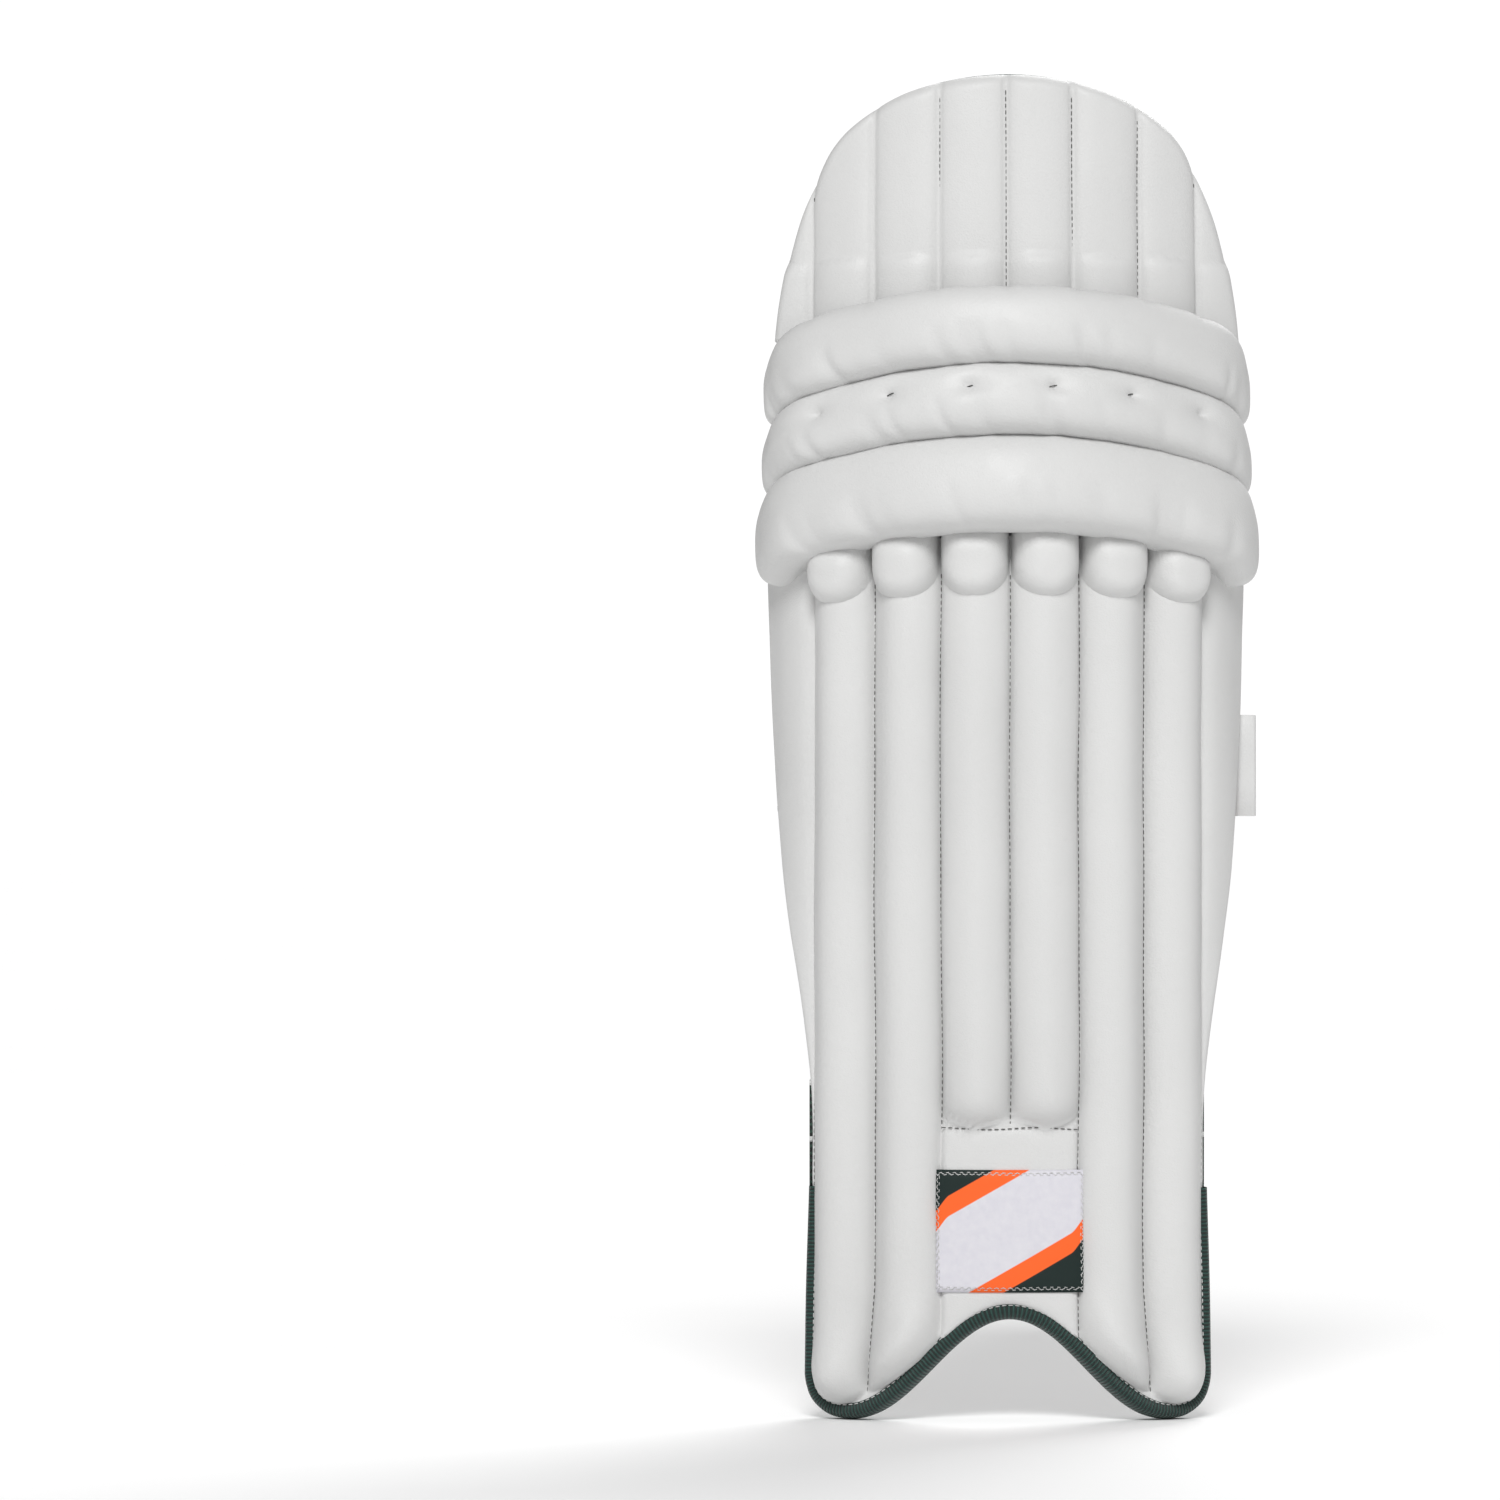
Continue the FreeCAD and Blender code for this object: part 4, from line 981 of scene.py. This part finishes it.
SIDE_Z, SIDE_X = smooth_line(*np.array([*FLAP_SIDE, (630.4, 0.0), (630.0, -10.0), (628.6, -25.0)]).T, 1.0, 19)
SIDE_Z, SIDE_X = SIDE_Z[SIDE_X >= 0], SIDE_X[SIDE_X >= 0]


def flap_half(z):
    """Half the flap's width at the height z."""
    return np.interp(z, SIDE_Z, SIDE_X)


def flap_top(x):
    """Height of the flap's outline above x."""
    return np.interp(np.abs(x), SIDE_X[::-1], SIDE_Z[::-1])


def flap_grid(foot, foot_rise=0.0, inset=0.0):
    """x and height of a grid inside the flap's outline, and the distance from that outline."""
    u = np.linspace(-1, 1, 181)[None, :]
    u = np.sign(u) * (1 - (1 - np.abs(u)) ** 1.3)
    near_top = 1 - 0.28 * (1 - np.sin(np.linspace(0, math.pi / 2, 34)))
    v = np.concatenate([np.linspace(0, 0.72, 50)[:-1], near_top])[:, None]
    x = u * (FLAP_GRID_HALF - inset)
    top = flap_top(np.abs(x) + inset) - 0.5 * inset
    low = foot + foot_rise * unit((np.abs(x) - 50.0) / 50.0)
    z = low + v * (top - low)
    x = x + 0 * v
    return x, z, np.minimum(top - z, flap_half(z) - inset - np.abs(x))


def make_flap():
    """The flap's cover in its eight channels, with a small dome at the foot of each."""
    x, z, inner = flap_grid(503.0, foot_rise=6.0)
    marks = np.array([-112.0, *FLAP_SEAMS, 112.0])
    wave = x + 0.8 * ripple(x, z, 60.0, 8.0)
    k = np.clip(np.searchsorted(marks, wave) - 1, 0, len(marks) - 2)
    t = 2 * (wave - marks[k]) / (marks[k + 1] - marks[k]) - 1
    crown = unit(1 - t * t)
    puff = 4.2 * unit(1 - np.abs(t) ** 2.6) ** 0.6
    groove = -1.0 * np.exp(-(((1 - np.abs(t)) * 15.0 / 1.0) ** 2))
    low_dome = 2.4 * crown * dome(np.clip(541.0 + 4.0 * np.sqrt(crown) - z, 0, 99), 7.0)
    rise = dome(inner, 7.0)
    lumps = 0.4 * ripple(x, z, 26.0, 6.0)
    front = on_flap(x, z, FLAP_MIDDLE + (5.2 + puff + groove + low_dome + lumps) * rise)
    back = on_flap(x, z, FLAP_MIDDLE - (FLAP_BACK + 0.4 * lumps) * rise)
    pillow("flap_shell", front, back, np.stack([x, z], -1), "cover", "top_flap",
           ["flap_cover", "flap_canes", "flap_foam"])


def make_flap_lining():
    """The cotton lining behind the flap, and the green piping round its edge."""
    inset = 0.9
    x, z, inner = flap_grid(481.0, inset=inset)
    under = FLAP_MIDDLE - 0.2 - FLAP_BACK * dome(inner + inset, 7.0)
    pad = 1.5 + 0.9 * ripple(x, z, 30.0, 2.0)
    back = on_flap(x, z, under - 0.3 - pad * dome(inner, 4.0))
    front = on_flap(x, z, under + 0.3)
    pillow("flap_back_lining", front, back, np.stack([x, z], -1), "cotton", "top_flap",
           ["flap_lining"])
    xs, zs = outline_of(x), outline_of(z)
    tube("flap_piping", on_flap(xs, zs, -4.6), 0.9, "piping", "top_flap")


def outline_of(grid):
    """The left side, top and right side of a flap grid, as one line."""
    return np.concatenate([grid[:-1, 0], grid[-1, :], grid[-2::-1, -1]])


# ---------------------------------------------------------------- threads, tubes and webbing
TUBE_SIDES = 10


def frames_along(points):
    """Tangents and two directions across a line of points."""
    tangent = np.gradient(points, axis=0)
    tangent /= np.linalg.norm(tangent, axis=1)[:, None]
    across = np.cross(tangent, np.where(np.abs(tangent[:, 2:3]) > 0.9, [[1.0, 0, 0]], [[0, 0, 1.0]]))
    across /= np.linalg.norm(across, axis=1)[:, None]
    return tangent, across, np.cross(tangent, across)


def tube(name, points, radius, look, body):
    """A round tube of constant thickness along a line of points."""
    _, across, other = frames_along(points)
    angle = np.linspace(0, 2 * math.pi, TUBE_SIDES + 1)[:-1]
    cos, sin = np.cos(angle)[None, :, None], np.sin(angle)[None, :, None]
    ring = points[:, None, :] + radius * (cos * across[:, None, :] + sin * other[:, None, :])
    faces = grid_faces(len(points), TUBE_SIDES, close=True) + end_caps(len(points), TUBE_SIDES)
    uv = np.stack(np.broadcast_arrays(lengths(points)[:, None], radius * angle[None, :]), -1)
    make_object(name, ring, faces, uv, look, body)


def resample(points, step):
    """Points at equal steps along a line."""
    along = lengths(points)
    marks = np.arange(step / 2, along[-1], step)
    return np.stack([np.interp(marks, along, points[:, i]) for i in range(3)], -1)


def stitches(name, lines, look, body, pitch=3.1, length=2.2, radius=0.32):
    """Short raised stitches along each line of points."""
    points, faces, uvs = [], [], []
    for line in lines:
        spots = resample(np.asarray(line, float), pitch)
        if len(spots) < 3:
            continue
        tangent, across, other = frames_along(spots)
        for c, t, a, o in zip(spots, tangent, across, other):
            first = len(points)
            for end in (-1, -0.55, 0.55, 1):
                r = radius * (0.25 if abs(end) == 1 else 1.0)
                for k in range(4):
                    angle = math.pi / 2 * k + math.pi / 4
                    points.append(c + t * end * length / 2 + r * (math.cos(angle) * a + math.sin(angle) * o))
                    uvs.append((end * length / 2, k * radius))
            faces += [(first + k, first + 1 + k, first + 2 + k, first + 3 + k) for k in (0, 12)]
            for ring in range(3):
                base = first + 4 * ring
                for k in range(4):
                    d = (k + 1) % 4
                    faces.append((base + k, base + d, base + 4 + d, base + 4 + k))
    return make_object(name, np.array(points), faces, np.array(uvs), look, body)


def round_corners(path, radius):
    """A plan path with its corners rounded."""
    path = [np.array(p, float) for p in path]
    made = [path[0]]
    for before, here, after in zip(path, path[1:], path[2:]):
        back, ahead = before - here, after - here
        r = min(radius, 0.45 * np.linalg.norm(back), 0.45 * np.linalg.norm(ahead))
        p, q = here + back / np.linalg.norm(back) * r, here + ahead / np.linalg.norm(ahead) * r
        made += [(1 - t) ** 2 * p + 2 * t * (1 - t) * here + t * t * q for t in np.linspace(0, 1, 7)]
    made.append(path[-1])
    return np.array(made)


def strap_height(x, z, skew, bow):
    """Height at x of the middle line of a strap that slants and bows about z."""
    return z + skew * x + bow * np.sin(math.pi * (x + STRAP_HALF) / (2 * STRAP_HALF))


def ribbon(name, path, z, width, look, body, skew=0.0, thick=WEB, bow=0.0):
    """Flat webbing, upright, along a plan path. skew tilts it along its length, and bow curves it."""
    dense = [path[0]]
    for a, b in zip(path, path[1:]):
        steps = max(1, int(np.linalg.norm(b - a) / 2.5))
        dense += [a + (b - a) * k / steps for k in range(1, steps + 1)]
    line = np.array(dense)
    x, y = line.T
    tangent = np.gradient(line, axis=0)
    tangent /= np.linalg.norm(tangent, axis=1)[:, None]
    half, t, c = width / 2, thick / 2, 0.45
    side = [(-t, -half + c), (-t, -half / 3), (-t, half / 3), (-t, half - c), (-t + c, half), (t - c, half)]
    section = side + [(-out, -up) for out, up in side]
    centre = strap_height(x, z, skew, bow)
    rows = []
    for out, up in section:
        wobble = 0.22 * smooth_noise(x, 0 * x, np.full(len(line), up), 13.0, 1.0)
        rows.append(np.stack([x + tangent[:, 1] * out, y - tangent[:, 0] * out + wobble, centre + up], -1))
    faces = grid_faces(len(line), len(section), close=True) + end_caps(len(line), len(section))
    across = np.array(section)[None, :, 1]
    uv = np.stack(np.broadcast_arrays(lengths(line)[:, None], across), -1)
    return make_object(name, np.stack(rows, axis=1), faces, uv, look, body)


def bend(x, y, radius, start, stop):
    """Points round a bar in plan, from one angle to another, in degrees."""
    turns = np.radians(np.linspace(start, stop, 9))
    return np.stack([x + radius * np.cos(turns), y + radius * np.sin(turns)], -1)


def sewn_rows(name, strap, xs, y, body, length, radius):
    """Rows of stitches across a strap's webbing at each x."""
    rows = []
    for x in xs:
        z = strap_height(x, strap.z, strap.skew, strap.bow)
        reach = strap.width / 2 - 1.2
        rows.append([(x, y, z - reach), (x, y, z), (x, y, z + reach)])
    stitches(name, rows, "dark_thread", body, 2.6, length, radius)


def make_run(name, strap, inner, front):
    """A strap's webbing from its sewn end to the ring, and the loop tape under its tip."""
    def web(piece, path, narrower, look, body, thick=WEB):
        width = strap.width - narrower
        return ribbon(f"{name}_{piece}", path, strap.z, width, look, body, strap.skew, thick, strap.bow)

    start_x = strap.swing_x - 5.7
    path = round_corners([(start_x, strap.foot), (start_x, front), (inner, front)], 4.0)
    path = np.concatenate([path[:-1], bend(inner, strap.y, FOLD, -90, 90)])
    run = web("strap_web", path, 0.0, f"{name}_web", None)
    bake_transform(run)
    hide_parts(f"{name}_strap", f"{name}_strap_base")
    tape_y = front + WEB / 2 + 0.2
    tape_path = np.array([(inner - 0.92 * strap.tip, tape_y), (inner - 3.0, tape_y)])
    tape = web("loop_tape", tape_path, 5.0, "loop", f"{name}_strap_run", 0.4)
    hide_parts(f"{name}_loop_patch")
    y, tip = strap.y + FOLD, strap.tip
    shares = ((-0.3 / tip, 0.0), (0.3, 0.22), (0.7, 0.75), (1.0, 1.0))
    tip_path = np.array([(inner - tip * along, y - down * TIP_DROP) for along, down in shares])
    tip_web = web("tip_web", tip_path, 0.3, f"{name}_web", f"{name}_tip")
    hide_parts(f"{name}_strap_tip")


def make_anchor(name, strap, owner, outer, front):
    """The short webbing that holds the ring, sewn to the pad and folded round the ring's outer bar."""
    x, y, over = strap.anchor_x, strap.y, front + WEB + 0.1
    path = round_corners([(x - 0.8, strap.foot), (x - 0.8, front), (outer, front)], 4.0)
    back = [(outer + 3.0, y + FOLD), (outer + 5.0, y + 1.2), (outer + 7.5, over), (x - 3.0, over)]
    path = np.concatenate([path[:-1], bend(outer, y, FOLD, -90, -270), back])
    anchor = ribbon(f"{name}_anchor_web", path, strap.z, strap.width - 0.2, f"{name}_web", owner,
                    skew=strap.skew, bow=strap.bow)
    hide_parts(f"{name}_anchor")


def make_strap(name):
    """A strap's webbing, its folded tip, the anchor that holds the ring, and the ring's finish."""
    strap = STRAPS[name]
    owner = "knee_guard" if name == "knee" else "shin_guard"
    reach = strap.ring_w / 2 - BAR_INSET
    inner, outer = strap.ring_x - reach, strap.ring_x + reach
    front = strap.y - FOLD
    make_run(name, strap, inner, front)
    make_anchor(name, strap, owner, outer, front)
    finish_node(f"{name}_hook_patch", "hook")
    ring = finish_node(f"{name}_buckle", "plastic")
    bevel = ring.modifiers.new("edges", "BEVEL")
    bevel.width, bevel.segments, bevel.limit_method = 1.1 * MM, 4, "ANGLE"
    face = WEB / 2 + 0.15
    sewn_rows(f"{name}_sewn_end_thread", strap, (strap.swing_x + 7.0, strap.swing_x + 10.5), front + face,
              f"{name}_strap_run", 1.9, 0.3)
    sewn_rows(f"{name}_anchor_thread", strap, (outer + 9.5, outer + 12.5), front + 1.5 * WEB + 0.3,
              owner, 1.9, 0.3)
    sewn_rows(f"{name}_tip_thread", strap, (inner - strap.tip + 2.5,), strap.y + FOLD - 0.9 * TIP_DROP + face,
              f"{name}_tip", 2.0, 0.35)


def finish_node(node, look):
    """Gives a CAD piece that stays in view its material."""
    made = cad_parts[node]
    made.data.materials.clear()
    made.data.materials.append(LOOKS[look])
    return made


# ---------------------------------------------------------------- seams and small pieces
def make_seam_threads():
    """Stitches along the seams of the shin panel and the flap."""
    lines = []
    for k in range(CHANNELS + 1):
        a0 = -A_FACE + k * CHANNEL
        low = SHORT_CHANNEL_Z if k == CHANNELS // 2 else lower_edge(face_frame(np.array(a0))[0]) + 8.0
        z = np.linspace(float(low), 396.0, 150)
        a = np.full_like(z, a0)
        lines.append(on_face(a + seam_drift(a, z), z, 0.35))
    a = np.linspace(-32.0, 32.0, 40)
    lines.append(on_face(a, SHORT_CHANNEL_Z - 0.8 + 0.5 * np.sin(a / 7.0), 3.3))
    stitches("shin_seam_thread", lines, "grey_thread", "shin_guard")
    lines = []
    for s in FLAP_SEAMS:
        top = float(flap_top(np.array(abs(s)))) - 8.0
        z = np.linspace(508.0, top, 60)
        x = s - 0.8 * smooth_noise(np.full_like(z, s), 0 * z, z, 60.0, 8.0)
        lines.append(on_flap(x, z, 0.85))
    stitches("flap_seam_thread", lines, "grey_thread", "top_flap")


def make_binding_thread():
    """Stitches along the binding, in front and behind."""
    a, z = toe_outline()
    na, nz = inward(a, z)
    front = on_face(a + na * 5.6, z + nz * 5.6, 2.0)
    behind = on_face(a + na * 10.2, z + nz * 10.2, -17.0)
    stitches("binding_thread", [front, behind], "white_thread", "shin_guard")


def make_emblem():
    """The printed patch on the instep, with its white zigzag border."""
    u = np.linspace(-PATCH_HALF, PATCH_HALF, 40)[None, :]
    v = np.linspace(PATCH_FOOT, PATCH_TOP, 30)[:, None]
    a, z = u + 0 * v, v + 0 * u
    puff = 0.8 * dome(PATCH_HALF - np.abs(a), 5.0) * dome(np.minimum(z - PATCH_FOOT, PATCH_TOP - z), 5.0)
    front, back = on_face(a, z, 4.0 + puff), on_face(a, z, 1.6)
    points, faces = two_sided(front, back, [rim(*a.shape)])
    uv = np.stack([a, z - (PATCH_FOOT + PATCH_TOP) / 2], -1)
    made = make_object("instep_patch", points, faces, [uv, uv], "patch", "shin_guard")
    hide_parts("emblem_patch")
    zig = []
    w, low, high = PATCH_HALF - 1.6, PATCH_FOOT + 1.8, PATCH_TOP - 1.8
    path = [(-w, low), (w, low), (w, high), (-w, high), (-w, low)]
    for (a0, b0), (a1, b1) in zip(path, path[1:]):
        n = int(max(abs(a1 - a0), abs(b1 - b0)) / 1.5)
        t = np.linspace(0, 1, n)
        off = 0.75 * np.where(np.arange(n) % 2, 1, -1)
        aa = a0 + t * (a1 - a0) + (off if a0 == a1 else 0)
        zz = b0 + t * (b1 - b0) + (off if b0 == b1 else 0)
        zig.append(on_face(aa, zz, 4.65))
    stitches("instep_patch_thread", zig, "white_thread", "shin_guard", 1.5, 1.7, 0.24)


def make_tab():
    """A folded loop of cover fabric on the wing's edge."""
    turn = [(116.4 + 1.6 * math.sin(a), 38.9 - 1.6 * math.cos(a)) for a in np.linspace(0.2, math.pi - 0.2, 8)]
    path = np.array([(108.0, 36.4), (113.0, 37.0), *turn, (113.0, 40.8), (107.0, 40.9)])
    made = ribbon("side_tab_loop", path, 306.0, 48.0, "cover", "shin_guard", thick=0.9)
    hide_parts("side_tab")


def make_label():
    """The blank size label on the back."""
    path = np.array([(69.5, 17.3), (75.0, 17.1), (81.0, 16.5), (86.5, 15.6)])
    made = ribbon("sewn_size_label", path, 181.5, 15.0, "label", "shin_guard", thick=0.5)
    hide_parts("size_label")


def make_wing_piping():
    """White rolled edges between the wing's cover and its lining."""
    for side, word in ((-1, "right"), (1, "left")):
        z = np.linspace(148.0, 396.0, 110)
        a = side * (wing_reach(z) - 1.2)
        line = on_face(a, z, -0.75 * shell_back(a))
        tube(f"wing_piping_{word}", line, 1.15, "cover", "shin_guard")


def make_tuft_ties():
    """The middle roll's six thread ties."""
    z, depth = ROLLS["middle"][:2]
    lines = []
    for place in TUFTS:
        s = np.array([place - 1.6, place, place + 1.6])
        lines.append(on_roll(s, depth - 4.0, np.array([2.6, 3.3, 3.6]), z))
    made = stitches("tuft_threads", lines, "dark_thread", "knee_guard", 1.0, 1.3, 0.3)
    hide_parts("tuft_ties")


# ---------------------------------------------------------------- studio
def make_studio():
    """A wide pale floor under an evenly white sky, with a broad soft lamp in front and one behind."""
    floor = bpy.data.meshes.new("floor")
    floor.from_pydata([(-60, -60, 0), (60, -60, 0), (60, 60, 0), (-60, 60, 0)], [], [(0, 1, 2, 3)])
    backdrop = bpy.data.objects.new("floor", floor)
    bpy.context.scene.collection.objects.link(backdrop)
    pale = Look("pale_floor", (0.93, 0.93, 0.93), 0.9)
    pale.colour(pale.mix(pale.spread(pale.noise(3.0, 2.0), 0.3, 0.7), (0.93, 0.93, 0.93), (0.95, 0.95, 0.95)))
    floor.materials.append(pale.material)

    world = bpy.data.worlds.new("studio")
    world.use_nodes = True
    nodes, links = world.node_tree.nodes, world.node_tree.links
    glow = nodes["Background"]
    seen = nodes.new("ShaderNodeLightPath")
    strength = nodes.new("ShaderNodeMapRange")
    strength.inputs["To Min"].default_value = SKY_LIGHT
    strength.inputs["To Max"].default_value = 1.05
    links.new(seen.outputs["Is Camera Ray"], strength.inputs["Value"])
    links.new(strength.outputs["Result"], glow.inputs["Strength"])
    glow.inputs["Color"].default_value = (1.0, 1.0, 1.0, 1.0)
    bpy.context.scene.world = world
    bpy.context.scene.view_settings.view_transform = "Standard"
    for name, place, power, angle in LAMPS:
        data = bpy.data.lights.new(name, "SUN")
        data.energy, data.angle = power, math.radians(angle)
        lamp = bpy.data.objects.new(name, data)
        lamp.rotation_euler = (-Vector(place)).to_track_quat("-Z", "Y").to_euler()
        bpy.context.scene.collection.objects.link(lamp)


def make_camera():
    """A long lens level with the pad's middle; the pad stands right of the picture's centre."""
    data = bpy.data.cameras.new("camera")
    data.lens, data.sensor_width = 200.0, 36.0
    camera = bpy.data.objects.new("camera", data)
    picture_width = 0.6975
    distance = picture_width / 2 / (data.sensor_width / 2 / data.lens)
    camera.location = (-0.121, -0.030 - distance, 0.3133)
    camera.rotation_euler = (math.pi / 2, 0.0, 0.0)
    bpy.context.scene.collection.objects.link(camera)
    bpy.context.scene.camera = camera


# ---------------------------------------------------------------- assembly
make_shin()
make_heads()
for side, word in ((-1, "right"), (1, "left")):
    low_a, high_a = sorted((side * 36.0, side * 91.5))
    back_panel(f"mesh_bolster_{word}", low_a, high_a, 127.0, 391.5, 15.5, "bolster_mesh", 15.0, 11.0,
               [f"shin_bolster_{word}"], 0.7)
    make_wing_lining(side, word)
back_panel("centre_panel", -37.0, 37.0, 124.0, 391.0, 7.6, "cotton", 7.0, 8.0,
           ["centre_shin_pad"])
make_instep_lining()
make_binding()
make_binding_thread()
make_seam_threads()
make_emblem()
make_tab()
make_label()
make_wing_piping()

for number, roll in enumerate(ROLLS):
    make_roll(roll, 11 + number)
make_knee_back()
make_tuft_ties()
for side, word in ((-1, "right"), (1, "left")):
    make_cradle_side(side, word)
make_knee_cup()

make_flap()
make_flap_lining()

for name in STRAPS:
    make_strap(name)

make_studio()
make_camera()
